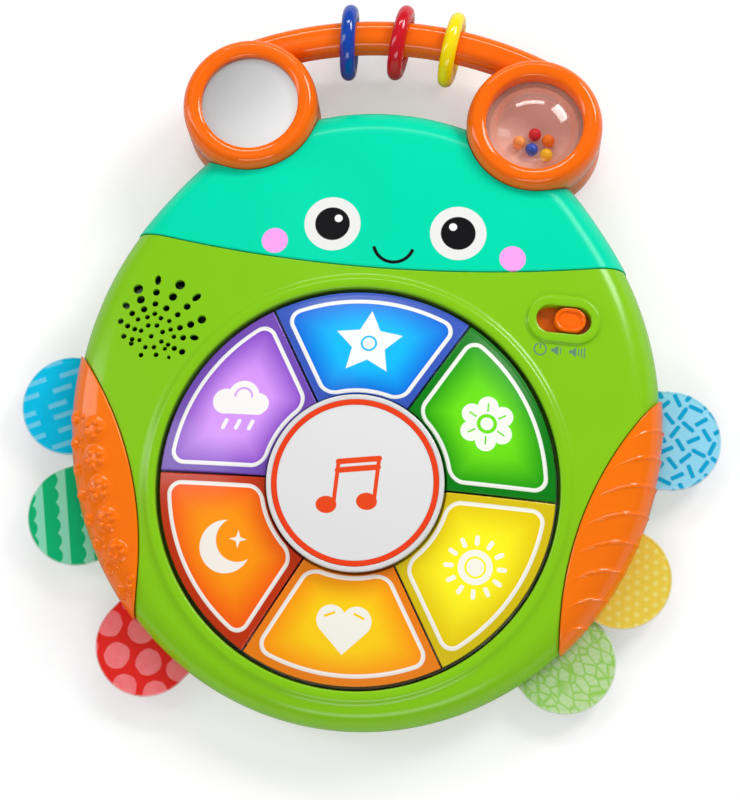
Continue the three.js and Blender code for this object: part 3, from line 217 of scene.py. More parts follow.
SEAM_TURN = outline_meets(seam_edge(), 30, 70)
GRIP_SOUTH = outline_meets(grip_edge(), -60, -11)
GRIP_NORTH = outline_meets(grip_edge(), -11, 40)


# Meshes

def grid(rows, loop_rows=False, loop_columns=False):
    """Corners and faces of a net of points, given as rows of alike length."""
    rows = np.asarray(rows, float)
    count, width = rows.shape[:2]
    index = np.arange(count * width).reshape(count, width)
    if loop_rows:
        index = np.vstack([index, index[:1]])
    if loop_columns:
        index = np.hstack([index, index[:, :1]])
    faces = np.stack([index[:-1, :-1], index[:-1, 1:], index[1:, 1:], index[1:, :-1]], axis=-1)
    return rows.reshape(-1, 3), faces.reshape(-1, 4).tolist()


def strip(rows):
    """A solid strip: a closed section in the rows, with a flat end at the first and the last column."""
    corners, faces = grid(rows, loop_rows=True)
    width = np.asarray(rows).shape[1]
    start = list(range(0, len(corners), width))
    return corners, faces + [start[::-1], [i + width - 1 for i in start]]


def turned(profile, count=96, centre=(0.0, 0.0)):
    """A profile of reach and height, turned round an upright axis."""
    turns = np.linspace(0, TAU, count, endpoint=False)
    rows = [np.stack([centre[0] + reach * np.cos(turns), centre[1] + reach * np.sin(turns),
                      np.full(count, height)], axis=-1) for reach, height in profile]
    ends_on_axis = profile[0][0] < 1e-6 and profile[-1][0] < 1e-6
    return grid(rows, loop_rows=not ends_on_axis, loop_columns=True)


def soften(points, radius=EDGE, steps=4, closed=False):
    """A section with its corners rounded. A radius may be one number or one for each corner."""
    points = [np.array(p, float) for p in points]
    radii = radius if hasattr(radius, "__len__") else [radius] * len(points)
    made = []
    for i, corner in enumerate(points):
        if radii[i] <= 0 or (not closed and i in (0, len(points) - 1)):
            made.append(corner)
            continue
        before, after = points[i - 1] - corner, points[(i + 1) % len(points)] - corner
        reach = [min(radii[i], 0.48 * np.linalg.norm(side)) for side in (before, after)]
        start = corner + before / np.linalg.norm(before) * reach[0]
        end = corner + after / np.linalg.norm(after) * reach[1]
        for t in np.linspace(0, 1, steps + 1):
            made.append((1 - t) ** 2 * start + 2 * t * (1 - t) * corner + t ** 2 * end)
    return made


def arc(centre, reach, first, last, steps=8):
    """Points of an arc of an ellipse, between two turns in degrees."""
    turns = np.radians(np.linspace(first, last, steps + 1))
    return [(centre[0] + reach[0] * math.cos(t), centre[1] + reach[1] * math.sin(t)) for t in turns]


def block(length, width, bottom, top, centre=(0.0, 0.0), turn=0.0):
    """A plain box, for cutting and joining."""
    corners = [(-1, -1), (1, -1), (1, 1), (-1, 1)]
    rows = [[(centre[0] + a * length / 2 * math.cos(turn) - b * width / 2 * math.sin(turn),
              centre[1] + a * length / 2 * math.sin(turn) + b * width / 2 * math.cos(turn), height)
             for a, b in corners] for height in (bottom, top)]
    points, faces = grid(rows, loop_columns=True)
    return points, faces + [[3, 2, 1, 0], [4, 5, 6, 7]]


def rod(radius, bottom, top, centre=(0.0, 0.0), count=96):
    return turned([(0, bottom), (radius, bottom), (radius, top), (0, top)], count, centre)


def stadium(length, width, grow=0.0, count=24):
    """Points round a slot with round ends."""
    straight, radius = (length - width) / 2, width / 2 + grow
    turns = np.linspace(-math.pi / 2, math.pi / 2, count + 1)
    right = np.stack([straight + radius * np.cos(turns), radius * np.sin(turns)], axis=-1)
    return np.vstack([right, -right])


def levels(loop_and_height):
    """Rows from pairs of a loop on the plan and its height."""
    return [np.column_stack([loop, np.full(len(loop), height)]) for loop, height in loop_and_height]


def capped(rows):
    """A solid of closed rows of points, with a flat end at the first and the last row."""
    corners, faces = grid(rows, loop_columns=True)
    width = len(rows[0])
    return corners, faces + [list(range(width))[::-1], [len(corners) - width + i for i in range(width)]]


def closed_stack(loop_and_height):
    """A solid of loops stacked on one another, closed at both ends."""
    return capped(levels(loop_and_height))


def carried(points, matrix):
    """Points taken along by a matrix."""
    matrix = np.array(matrix)
    return points @ matrix[:3, :3].T + matrix[:3, 3]


def moved(shape, matrix):
    corners, faces = shape
    return carried(corners, matrix), faces


def mesh_object(name, *shapes):
    """One object of several closed shapes, with shared corners merged and faces pointing out."""
    corners, faces, start = [], [], 0
    for points, quads in shapes:
        corners.append(np.asarray(points) * MM)
        faces += [[i + start for i in quad] for quad in quads]
        start += len(points)
    mesh = bpy.data.meshes.new(name)
    mesh.from_pydata(np.vstack(corners).tolist(), [], faces)
    work = bmesh.new()
    work.from_mesh(mesh)
    bmesh.ops.remove_doubles(work, verts=work.verts, dist=ALIKE)
    bmesh.ops.dissolve_degenerate(work, edges=work.edges, dist=THIN)
    bmesh.ops.recalc_face_normals(work, faces=work.faces)
    work.to_mesh(mesh)
    work.free()
    made = bpy.data.objects.new(name, mesh)
    bpy.context.scene.collection.objects.link(made)
    return made


def settle(piece):
    """Turns a piece's modifiers into plain mesh."""
    bpy.context.view_layer.update()
    shape = piece.evaluated_get(bpy.context.evaluated_depsgraph_get())
    mesh = bpy.data.meshes.new_from_object(shape)
    piece.modifiers.clear()
    piece.data = mesh
    return piece


def combine(piece, other, how):
    """Joins another closed object to a piece, or cuts it out."""
    modifier = piece.modifiers.new("combine", "BOOLEAN")
    modifier.operation, modifier.solver, modifier.object = how, "MANIFOLD", other
    settle(piece)
    bpy.data.objects.remove(other)
    return piece


def cut(piece, *shapes):
    return combine(piece, mesh_object("cutter", *shapes), "DIFFERENCE")


def join(piece, *shapes):
    return combine(piece, mesh_object("addition", *shapes), "UNION")


def dressed(piece, material, body, node, sharp=32):
    """Gives a piece its material, smooth faces and body, and hides the node it stands for. Edges over sharp
    degrees stay sharp.
    """
    piece.data.materials.clear()
    piece.data.materials.append(material)
    piece.data.shade_smooth()
    piece.data.set_sharp_from_angle(angle=math.radians(sharp))
    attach(piece, body)
    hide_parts(node)
    return piece


# Geometry node trees

def node_tree(name, **inputs):
    """An empty tree with a geometry input and output and named inputs of the given kinds."""
    tree = bpy.data.node_groups.new(name, "GeometryNodeTree")
    tree.interface.new_socket("Geometry", in_out="INPUT", socket_type="NodeSocketGeometry")
    for label, kind in inputs.items():
        tree.interface.new_socket(label, in_out="INPUT", socket_type=f"NodeSocket{kind}")
    tree.interface.new_socket("Geometry", in_out="OUTPUT", socket_type="NodeSocketGeometry")
    start = tree.nodes.new("NodeGroupInput")
    wires = {socket.name: Wire(tree, socket) for socket in start.outputs if socket.name}
    return tree, wires


def end_tree(tree, shape, material):
    """Ends a tree with real meshes that carry a material."""
    real = shape.node("GeometryNodeRealizeInstances", {}, {0: shape})
    covered = real.node("GeometryNodeSetMaterial", {}, {"Geometry": real, "Material": material})
    end = tree.nodes.new("NodeGroupOutput")
    tree.links.new(covered.socket, end.inputs[0])


def grown(name, tree, start, **values):
    """Runs a tree on a mesh, or on nothing, and keeps the result as a plain mesh."""
    piece = bpy.data.objects.new(name, start or bpy.data.meshes.new(name))
    bpy.context.scene.collection.objects.link(piece)
    modifier = piece.modifiers.new(tree.name, "NODES")
    modifier.node_group = tree
    for item in tree.interface.items_tree:
        if item.in_out == "INPUT" and item.name in values:
            modifier[item.identifier] = values[item.name]
    return settle(piece)


# Shader values

class Wire:
    """A value on its way through a tree of nodes. Sums of wires add Math nodes."""

    def __init__(self, tree, socket=None):
        self.tree, self.socket = tree, socket

    def node(self, kind, settings, sockets, output=0):
        """Adds a node: its settings first, then the values or links of its sockets.

        A tuple of wires goes into one socket that takes several links.
        """
        made = self.tree.nodes.new(kind)
        for name, value in settings.items():
            setattr(made, name, value)
        for name, value in sockets.items():
            for part in value if isinstance(value, tuple) and isinstance(value[0], Wire) else (value,):
                if isinstance(part, Wire):
                    self.tree.links.new(part.socket, made.inputs[name])
                else:
                    made.inputs[name].default_value = part
        return Wire(self.tree, made.outputs[output])

    def math(self, operation, *others):
        return self.node("ShaderNodeMath", {"operation": operation}, dict(enumerate((self, *others))))

    def __add__(self, other):
        return self.math("ADD", other)

    __radd__ = __add__

    def __sub__(self, other):
        return self.math("SUBTRACT", other)

    def __rsub__(self, other):
        return self.math("MULTIPLY_ADD", -1.0, other)

    def __mul__(self, other):
        return self.math("MULTIPLY", other)

    __rmul__ = __mul__

    def __truediv__(self, other):
        return self.math("DIVIDE", other)

    def __neg__(self):
        return self * -1.0

    def __abs__(self):
        return self.math("ABSOLUTE")

    def __mod__(self, other):
        return self.math("FLOORED_MODULO", other)

    def least(self, other):
        return self.math("MINIMUM", other)

    def most(self, other):
        return self.math("MAXIMUM", other)

    def clipped(self):
        return self.most(0.0).least(1.0)

    def floor(self):
        return self.math("FLOOR")

    def sine(self):
        return self.math("SINE")

    def cosine(self):
        return self.math("COSINE")

    def power(self, exponent):
        return self.math("POWER", exponent)

    def axes(self):
        """The parts of a vector."""
        made = self.tree.nodes.new("ShaderNodeSeparateXYZ")
        self.tree.links.new(self.socket, made.inputs[0])
        return [Wire(self.tree, output) for output in made.outputs]

    def between(self, under, over):
        """The colour between two others, by this share of the second."""
        return self.node("ShaderNodeMix", {"data_type": "RGBA"}, {0: self, 6: under, 7: over}, output=2)

    def noise(self, scale, detail=2.0):
        return self.node("ShaderNodeTexNoise", {}, {"Vector": self, "Scale": scale, "Detail": detail})

    def white_noise(self, x, y):
        """One random value for each pair of whole numbers."""
        place = self.node("ShaderNodeCombineXYZ", {}, {0: x, 1: y})
        return self.node("ShaderNodeTexWhiteNoise", {}, {"Vector": place})


def rgb(red, green, blue):
    """A colour named by its screen values, from 0 to 255."""
    parts = [value / 255 for value in (red, green, blue)]
    return tuple(v / 12.92 if v <= 0.04045 else ((v + 0.055) / 1.055) ** 2.4 for v in parts) + (1.0,)


def shade(colour, factor):
    return tuple(min(1.0, value * factor) for value in colour[:3]) + (1.0,)


class Finish:
    """A material under way: its tree, its shader, and places on the object in millimetres."""

    def __init__(self, name, **constants):
        self.material = bpy.data.materials.new(name)
        self.material.use_nodes = True
        self.tree = self.material.node_tree
        self.shader = self.tree.nodes["Principled BSDF"]
        self.set(**constants)
        self.object = Wire(self.tree).node("ShaderNodeTexCoord", {}, {}, output=3)

    def set(self, **values):
        """Sets or links the shader's sockets, named with underscores."""
        for name, value in values.items():
            socket = self.shader.inputs[name.replace("_", " ").title().replace("Ior", "IOR")]
            if isinstance(value, Wire):
                self.tree.links.new(value.socket, socket)
            else:
                socket.default_value = value
        return self

    def place(self, matrix=Matrix.Identity(4)):
        """A place on the object in millimetres, in the frame that a matrix in millimetres gives."""
        location = [value * MM for value in matrix.translation]
        return self.object.node("ShaderNodeMapping", {"vector_type": "TEXTURE"}, {
            "Vector": self.object, "Location": location, "Rotation": matrix.to_euler("XYZ"),
            "Scale": (MM, MM, MM)})

    def bump(self, height, distance):
        """Relief of a height from 0 to 1, that many millimetres deep."""
        relief = self.object.node("ShaderNodeBump", {}, {
            "Height": height, "Distance": distance * MM, "Strength": 1.0})
        return self.set(normal=relief)


def flat_turn(angle):
    return Matrix.Rotation(angle, 4, "Z")


def shift(x, y, z=0.0):
    return Matrix.Translation((x, y, z))


WHEEL = shift(0, 0, RIM_HEIGHT) @ Matrix.Rotation(WHEEL_TILT, 4, "X")


CLOUD_SCALE, GLOSS_SCALE, PEEL_SCALE = 0.02, 0.6, 0.9
GLOSS_SPREAD = 0.08


def plastic(name, colour, roughness=0.3, mottle=0.05, peel=0.012, paint=None, specular=0.45):
    """Moulded plastic with uneven colour and gloss and a fine orange peel, and a print that paint gives."""
    made = Finish(name, specular_ior_level=specular)
    place = made.place()
    clouds = place.noise(CLOUD_SCALE, 3.0)
    base = clouds.between(shade(colour, 1 - mottle), shade(colour, 1 + mottle))
    if paint:
        base = paint(made, base)
    gloss = place.noise(GLOSS_SCALE) * GLOSS_SPREAD + (roughness - GLOSS_SPREAD / 2)
    made.set(base_color=base, roughness=gloss)
    made.bump(place.noise(PEEL_SCALE, 3.0), peel)
    return made.material


def mask(distance, soft=0.12):
    """1 inside a shape and 0 outside, from the distance to its edge."""
    return (0.5 - distance / (2 * soft)).clipped()


def length(x, y):
    return (x * x + y * y).power(0.5)


def circle(x, y, radius, centre=(0.0, 0.0)):
    return length(x - centre[0], y - centre[1]) - radius


def capsule(x, y, start, end, radius):
    """Distance to a stroke with round ends."""
    dx, dy = end[0] - start[0], end[1] - start[1]
    span = dx * dx + dy * dy
    along = (((x - start[0]) * dx + (y - start[1]) * dy) / span).clipped()
    return length(x - start[0] - along * dx, y - start[1] - along * dy) - radius


def folded(x, y, count, turn=0.0):
    """A place folded into one of several alike sectors, with its middle along the first axis."""
    reach = length(x, y)
    angle = (y.math("ARCTAN2", x) + (math.pi / count - turn)) % (TAU / count) - math.pi / count
    return reach * angle.cosine(), reach * angle.sine()


# Motifs on the keys, as distances to their edges

def star(x, y):
    outer, inner, count = 12.5, 6.2, 5
    u, v = folded(x, y, count, math.pi / 2)
    tip = (outer, 0.0)
    dx, dy = inner * math.cos(math.pi / count) - outer, inner * math.sin(math.pi / count)
    size = math.hypot(dx, dy)
    body = ((u - tip[0]) * dy - abs(v) * dx) / size - 0.9
    ring = abs(circle(x, y, 3.0)) - 0.45
    return body.most(-ring)


def flower(x, y):
    u, v = folded(x, y, 6, math.pi / 2)
    petals = circle(u, v, 4.3, (7.4, 0.0))
    veins = capsule(u, v, (5.5, 0.0), (8.6, 0.0), 0.35)
    heart = circle(x, y, 2.7)
    return petals.most(-veins).most(-circle(x, y, 4.2)).least(heart)


def sun(x, y):
    u, v = folded(x, y, 12)
    rays = capsule(u, v, (9.8, 0.0), (12.2, 0.0), 0.95)
    swirl = abs(circle(x, y, 4.1)) - 0.45
    return circle(x, y, 7.2).most(-swirl).least(rays)


def heart(x, y):
    side = abs(x)
    lobe, across, up = 6.1, 5.3, 3.6
    u, v = (side + y) * math.sqrt(0.5), (side - y) * math.sqrt(0.5)
    point = (v - (across - up) * math.sqrt(0.5) - lobe).most(u - (across + up) * math.sqrt(0.5)).most(y - up)
    inside = capsule(side, y, (4.2, 6.6), (7.9, 5.0), 0.5)
    return circle(side, y, lobe, (across, up)).least(point).most(-inside)


def moon(x, y):
    crescent = circle(x, y, 11.0).most(-circle(x, y, 9.2, (5.0, 3.2)))
    u, v = folded(x - 5.2, y - 3.4, 4)
    twinkle = (abs(u) + abs(v) * 3.4) * 0.5 - 1.9
    return crescent.least(twinkle)


def cloud(x, y):
    puffs = circle(x, y, 5.4, (-6.0, 1.0)).least(circle(x, y, 6.8, (1.6, 3.4)))
    puffs = puffs.least(circle(x, y, 4.5, (8.2, 0.6))).least(capsule(x, y, (-6.0, -1.6), (8.4, -1.6), 2.7))
    line = (abs(circle(x, y, 3.6, (1.6, 3.4))) - 0.4).most(3.2 - y)
    shape = puffs.most(-line)
    for start in (-4.6, 1.0, 6.6):
        shape = shape.least(capsule(x, y, (start, -7.2), (start - 1.2, -10.2), 0.85))
    return shape


MOTIFS = {"blue": star, "green": flower, "yellow": sun, "amber": heart, "orange": moon, "purple": cloud}

# Each key's colours: middle of the painted glow, edge of the painted glow, and the border. The glow is
# painted light from inside the key
GLOWS = {
    "blue": (rgb(0, 182, 248), rgb(0, 98, 216), rgb(52, 88, 190)),
    "green": (rgb(104, 220, 8), rgb(12, 150, 4), rgb(0, 128, 14)),
    "yellow": (rgb(255, 244, 30), rgb(230, 200, 0), rgb(222, 196, 8)),
    "amber": (rgb(255, 208, 10), rgb(255, 146, 0), rgb(246, 132, 8)),
    "orange": (rgb(255, 150, 0), rgb(250, 88, 0), rgb(200, 52, 0)),
    "purple": (rgb(212, 150, 246), rgb(128, 68, 194), rgb(116, 76, 182)),
}
PRINT_WHITE = rgb(246, 246, 240)
PRINT_COVER = 0.92             # how much of the colour the white print hides
# Painted glow: the key gives off light of its own colour, though it is no lamp
KEY_LIGHT = 0.09               # what a key gives off
SHEET_CORNER, GLOW_REACH = 5.5, 30.0
# Painted shade low on each key's outer side: the height below which it starts, the depth over which it
# deepens, and how far in from the rim it begins
FLANK_TOP, FLANK_FADE, FLANK_EDGE = 1.0, 3.0, 0.6


def key_turn(index):
    return math.pi / 2 - index * TAU / len(KEY_COLOURS)


def sector(x, y, inner, outer, side, corner):
    """Distance to a rounded sector that lies between two spokes of the wheel."""
    half = math.pi / len(KEY_COLOURS)
    reach = length(x, y)
    from_side = x * math.sin(half) - abs(y) * math.cos(half) - side
    from_arcs = (outer - reach).least(reach - inner)
    u, v = corner - from_side, corner - from_arcs
    return u.most(v).least(0.0) + length(u.most(0.0), v.most(0.0)) - corner


def key_film(index, colour_name):
    """Printed key: a border, a pale outline and a pale motif, with a painted glow that fades from its middle
    and painted shade low on its outer side.
    """
    middle_colour, edge_colour, border = GLOWS[colour_name]
    made = Finish(f"printed_key_{colour_name}", specular_ior_level=0.4, coat_weight=0.1, coat_roughness=0.06,
                  emission_strength=KEY_LIGHT)
    turn = key_turn(index)
    x, y, height = made.place(WHEEL @ flat_turn(turn)).axes()
    centre = WHEEL @ shift(MOTIF_REACH * math.cos(turn), MOTIF_REACH * math.sin(turn))
    u, v, _ = made.place(centre).axes()
    sheet = sector(x, y, OUTLINE_INNER, OUTLINE_OUTER, OUTLINE_SIDE, SHEET_CORNER)
    # Painted glow: light from inside the key, painted brighter towards the motif
    glow = (sheet * -0.085).clipped() * (1.25 - length(u, v) / GLOW_REACH).clipped()
    inner = (glow * 1.25).clipped().power(0.7).between(edge_colour, middle_colour)
    colour = mask(sheet).between(border, inner)
    outline = abs(sheet) - OUTLINE_WIDTH / 2
    motif = MOTIFS[colour_name](u, v)
    white = mask(outline.least(motif))
    colour = (white * PRINT_COVER).between(colour, PRINT_WHITE)
    # Painted shade: low on its outer side, down in the gap by the casing, the key darkens towards a dark
    # border colour
    flank_shade = ((FLANK_TOP - height) / FLANK_FADE).clipped() * (length(x, y) - KEY_OUTER + FLANK_EDGE).clipped()
    colour = flank_shade.between(colour, shade(border, 0.6))
    place = made.place()
    # The painted glow is also given off as light within the sheet
    made.set(base_color=colour, emission_color=mask(sheet).between(rgb(0, 0, 0), colour),
             roughness=place.noise(0.5) * 0.06 + 0.17)
    made.bump(place.noise(0.5, 3.0) + white * 0.6, 0.01)
    return made.material


def face_print(made, base):
    """A plain smiling face: two round eyes, two cheeks and a wide smile, alike on both sides."""
    x, y, _ = made.place(shift(6.2, 110.0)).axes()
    side = abs(x)
    eye = (side - 26.9, y - 2.0)
    base = mask(circle(*eye, 12.0)).between(base, rgb(236, 236, 234))
    base = mask(circle(*eye, 7.4)).between(base, rgb(22, 22, 24))
    base = mask(circle(*eye, 1.7, (-2.4, 2.6))).between(base, rgb(250, 250, 250))
    base = mask(circle(side, y, 5.6, (50.8, -7.2))).between(base, rgb(250, 166, 240))
    smile = (abs(circle(side, y, 8.6, (0.0, -4.6))) - 0.75).most(y + 7.4)
    ends = circle(side, y, 0.75, (8.1, -7.45))
    base = mask(smile.least(ends)).between(base, rgb(22, 22, 24))
    return base


def switch_icons(made, base):
    """Grey marks for off, quiet and loud beside the slide switch."""
    x, y, _ = made.place(shift(71.6, 64.6)).axes()
    ink = abs(circle(x, y, 2.5)) - 0.32
    ink = ink.most(-(abs(x) - 0.75).most(-y)).least(capsule(x, y, (0.0, 0.4), (0.0, 2.6), 0.3))
    for offset, waves in ((7.0, 1), (14.6, 3)):
        u = x - offset
        horn = (abs(y) - 0.7 - (u + 1.4).most(0.0) * 0.75).most(abs(u + 0.9) - 1.5)
        ink = ink.least(horn)
        for i in range(waves):
            ink = ink.least((abs(u - 1.6 - 1.25 * i) - 0.28).most(abs(y) - 1.4 - 0.45 * i))
    return (mask(ink, 0.15) * 0.8).between(base, rgb(92, 120, 128))


def cloth(name, frame_matrix, paint):
    """Woven cloth with a print and a pale bound edge."""
    made = Finish(name, specular_ior_level=0.1, sheen_weight=0.06, sheen_roughness=0.5)
    place = made.place(frame_matrix)
    x, y, _ = place.axes()
    printed = paint(x, y, place)
    reach = length(x.most(0.0), y)
    hem = mask(TAG_RADIUS - 0.55 - reach, 0.2)
    colour = (hem * 0.45).between(printed, rgb(238, 244, 240))
    thread = 0.62
    weave = (x * (TAU / thread)).sine() * (y * (TAU / thread)).sine()
    colour = (weave * 0.05 + 0.05).between(colour, rgb(0, 0, 0))
    fuzz = made.place().noise(1.8, 3.0)
    made.set(base_color=colour, roughness=fuzz * 0.15 + 0.78)
    made.bump(weave * 0.5 + 0.5 + fuzz * 0.6, 0.09)
    return made.material


def slanted(x, y, turn):
    turn = math.radians(turn)
    return x * math.cos(turn) + y * math.sin(turn), y * math.cos(turn) - x * math.sin(turn)


def strokes(x, y, place):
    """Broken pale strokes on blue."""
    pitch, reach = 5.9, 15.0
    x, y = slanted(x, y, 22)
    row = (y / pitch).floor()
    cell = x / reach + place.white_noise(row, 3.0)
    size = place.white_noise(row, cell.floor()) * 1.6 + 3.6
    across = y % pitch - pitch / 2 + (place.white_noise(cell.floor(), row) - 0.5) * 1.6
    line = (abs((cell % 1.0 - 0.5) * reach) - size).most(abs(across) - 1.05)
    deep = place.noise(0.12, 2.0).between(rgb(0, 188, 232), rgb(0, 208, 250))
    return (mask(line, 0.3) * 0.7).between(deep, rgb(130, 218, 246))


def scallops(x, y, place):
    """Bands across the tag, each with one scalloped edge."""
    pitch, width = 10.2, 7.0
    x, y = slanted(x, y, -12)
    wave = abs((y * (math.pi / 6.6)).sine()) * -1.5 + 1.6
    across = (x + 3.0) % pitch
    colour = mask((wave - across).most(across - width), 0.25).between(rgb(144, 230, 194), rgb(0, 186, 118))
    return (place.noise(0.3, 3.0) * 0.08).between(colour, rgb(80, 200, 146))


def big_dots(x, y, place):
    pitch, rise = 14.6, 11.8
    row = (y / rise).floor()
    u = (x + row * (pitch / 2) + 3.0) % pitch - pitch / 2
    v = y % rise - rise / 2
    wobble = place.noise(0.22, 1.0) * 1.6 - 0.8
    mottled = place.noise(0.3, 3.0).between(rgb(255, 104, 112), rgb(255, 142, 144))
    return mask(circle(u, v, 5.6) + wobble, 0.25).between(rgb(238, 42, 36), mottled)


def confetti(x, y, place):
    """Short dashes strewn at all angles."""
    pitch = 6.1
    x, y = slanted(x, y, 24)
    a, b = x / pitch, y / pitch
    other = (a.floor() + b.floor()) % 2.0
    spin = other * 1.5 + place.white_noise(a.floor(), b.floor()) * 0.9
    u, v = (a % 1.0 - 0.5) * pitch, (b % 1.0 - 0.5) * pitch
    along, across = u * spin.cosine() + v * spin.sine(), v * spin.cosine() - u * spin.sine()
    half_length, half_width = 2.4, 0.95
    ink = length((abs(along) - half_length).most(0.0), across) - half_width
    return mask(ink, 0.25).between(rgb(150, 224, 250), rgb(0, 168, 218))


def small_dots(x, y, place):
    pitch = 4.5
    rise = pitch * 0.86
    row = (y / rise).floor()
    u = (x + row * (pitch / 2)) % pitch - pitch / 2
    v = y % rise - rise / 2
    soft = place.noise(0.5, 2.0).between(rgb(238, 208, 62), rgb(244, 216, 86))
    return (mask(circle(u, v, 0.95), 0.5) * 0.75).between(soft, rgb(244, 232, 140))


def leaves(_x, _y, place):
    """Pale veined cells on green."""
    seed = place.node("ShaderNodeMapping", {}, {
        "Vector": place, "Rotation": (0, 0, 0.6), "Scale": (0.17, 0.26, 0.0)})
    edge = place.node("ShaderNodeTexVoronoi", {"feature": "DISTANCE_TO_EDGE"}, {
        "Vector": seed, "Scale": 1.0, "Randomness": 0.8})
    pick = place.node("ShaderNodeTexVoronoi", {}, {"Vector": seed, "Scale": 1.0, "Randomness": 0.8}, output=1)
    veins = place.node("ShaderNodeMapping", {}, {"Vector": place, "Rotation": pick, "Scale": (1.0, 1.0, 0.0)})
    line = abs(veins.axes()[0] % 1.9 - 0.95) - 0.2
    colour = mask(0.07 - edge, 0.06).between(rgb(152, 212, 84), rgb(196, 228, 168))
    return (mask(line, 0.3) * 0.4).between(colour, rgb(168, 218, 118))


PRINTS = {
    "tag_left_upper": strokes, "tag_left_middle": scallops, "tag_left_lower": big_dots,
    "tag_right_upper": confetti, "tag_right_middle": small_dots, "tag_right_lower": leaves,
}


def clear_plastic(name, tint):
    """Thin clear plastic: seen through, with a reflection that grows towards its edges."""
    made = Finish(name, metallic=1.0, roughness=0.03)
    place = made.place()
    tree = made.tree
    made.set(base_color=place.noise(0.05).between(rgb(235, 235, 235), rgb(255, 255, 255)))
    through = place.node("ShaderNodeBsdfTransparent", {}, {"Color": tint})
    facing = place.node("ShaderNodeFresnel", {}, {"IOR": 1.5})
    share = (facing * 0.5).least(0.26)
    reflected = Wire(tree, made.shader.outputs[0])
    blend = place.node("ShaderNodeMixShader", {}, {0: share, 1: through, 2: reflected})
    tree.links.new(blend.socket, tree.nodes["Material Output"].inputs[0])
    return made.material


def silvered(name):
    """Mirror film: it is bright, with a painted reflection that turns it grey towards one side."""
    made = Finish(name, metallic=0.6)
    place = made.place(shift(-POD_X, POD_Y))
    x, y, _ = place.axes()
    # Painted reflection: grey to the north-west and white to the south-east, as the card overhead shows in it
    painted_reflection = ((x * 0.8 - y * 0.6) / 44.0 + 0.5).clipped()
    made.set(base_color=painted_reflection.between(rgb(196, 197, 198), rgb(248, 248, 249)),
             roughness=place.noise(0.1) * 0.03 + 0.05)
    made.bump(place.noise(0.06, 1.0), 0.05)
    return made.material


def steel(name):
    made = Finish(name, metallic=1.0)
    place = made.place()
    made.set(base_color=place.noise(0.4, 4.0).between(rgb(150, 152, 156), rgb(206, 208, 212)),
             roughness=place.noise(2.0, 3.0) * 0.2 + 0.22)
    made.bump(place.noise(3.0, 3.0), 0.02)
    return made.material


def circuit(name, matrix, top):
    """Green board with copper tracks. What stands above its top is dark moulded parts."""
    made = Finish(name, specular_ior_level=0.4)
    place = made.place(matrix)
    x, y, height = place.axes()
    lane = place.noise(0.05, 0.0)
    tracks = abs((x + lane * 14.0) % 5.2 - 2.6) - 0.35
    cross = abs((y + lane * 9.0) % 7.4 - 3.7) - 0.35
    pads = circle(x % 6.0 - 3.0, y % 6.0 - 3.0, 0.8)
    base = (mask(tracks.least(cross), 0.2) * 0.6).between(rgb(18, 104, 58), rgb(64, 150, 84))
    base = mask(pads, 0.15).between(base, rgb(214, 186, 120))
    base = mask(top - height, 0.1).between(base, rgb(44, 44, 48))
    made.set(base_color=base, roughness=place.noise(0.4) * 0.2 + 0.35)
    made.bump(mask(tracks.least(cross), 0.3), 0.05)
    return made.material


def battery_wrap(name, y, way):
    """Printed wrap of two colours and a thin pale band, round a cell that points along the first axis."""
    made = Finish(name, metallic=0.35)
    x, _, _ = made.place(shift(0, y)).axes()
    seam, band_half, wrap_half, soft = 9.0 * way, 0.7, 24.0, 0.1
    base = mask(way * (x - seam), soft).between(rgb(196, 142, 62), rgb(38, 38, 42))
    base = mask(abs(x - seam) - band_half, soft).between(base, rgb(226, 226, 226))
    base = mask(wrap_half - abs(x), soft).between(base, rgb(190, 192, 196))
    made.set(base_color=base, roughness=made.place().noise(0.3) * 0.15 + 0.25)
    made.bump(made.place().noise(0.8, 3.0), 0.02)
    return made.material


lime = plastic("lime_plastic", rgb(134, 202, 14), 0.22, paint=switch_icons, specular=0.4)
lime_back = plastic("lime_back_plastic", rgb(130, 196, 16), 0.34)
teal = plastic("teal_plastic", rgb(0, 221, 175), 0.2, paint=face_print, specular=0.12)
orange = plastic("orange_plastic", rgb(255, 108, 0), 0.12, specular=0.45)
rubber = plastic("orange_rubber", rgb(255, 118, 0), 0.15, peel=0.008, specular=0.4)


# Pieces of the casing

def ray_points(turns, reach, height):
    """Points at a reach from the wheel's middle along rays, at a height."""
    return np.stack([reach * np.cos(turns), reach * np.sin(turns), height + 0 * turns], axis=-1)


def skin_points(turns, reach, grow=0.0, lift=0.0):
    """Points along rays on the casing's skin, which may be grown, and lifted off it."""
    x, y = reach * np.cos(turns), reach * np.sin(turns)
    return np.stack([x, y, skin(x, y, grow) + lift], axis=-1)


def wheel_ring(turns, reach, height):
    """A circle in the wheel's tilted frame."""
    return carried(ray_points(turns, reach, height), WHEEL)


def casing_turns():
    ends = [GRIP_NORTH, SEAM_TURN, math.pi - SEAM_TURN, math.pi - GRIP_NORTH, math.pi - GRIP_SOUTH,
            TAU + GRIP_SOUTH, TAU + GRIP_NORTH]
    counts = [56, 150, 56, 96, 150, 96]
    return np.concatenate([spread(a, b, n)[:-1] for a, b, n in zip(ends, ends[1:], counts)])


LIP = [(0, 0.1), (0.05, 0.55), (0.2, 0.9), (0.5, 1.15), (1, 1.3), (2, 1.45), (3, 1.5), (3.5, 1.46), (4, 1.3),
       (4.5, 1.0), (5, 0.66), (5.6, 0.34), (6.2, 0.15), (7.0, 0.04), (7.8, 0)]
WELL_BOTTOM, LEDGE, WELL_WALL = -15.9, 9.0, 2.2
LEDGE_TOP = WELL_BOTTOM + 2
FACE_ROWS, WELL_ROWS, UNDER_ROWS = 40, 14, 13
SEAM_GAP, SEAM_BEVEL = 0.3, 0.08


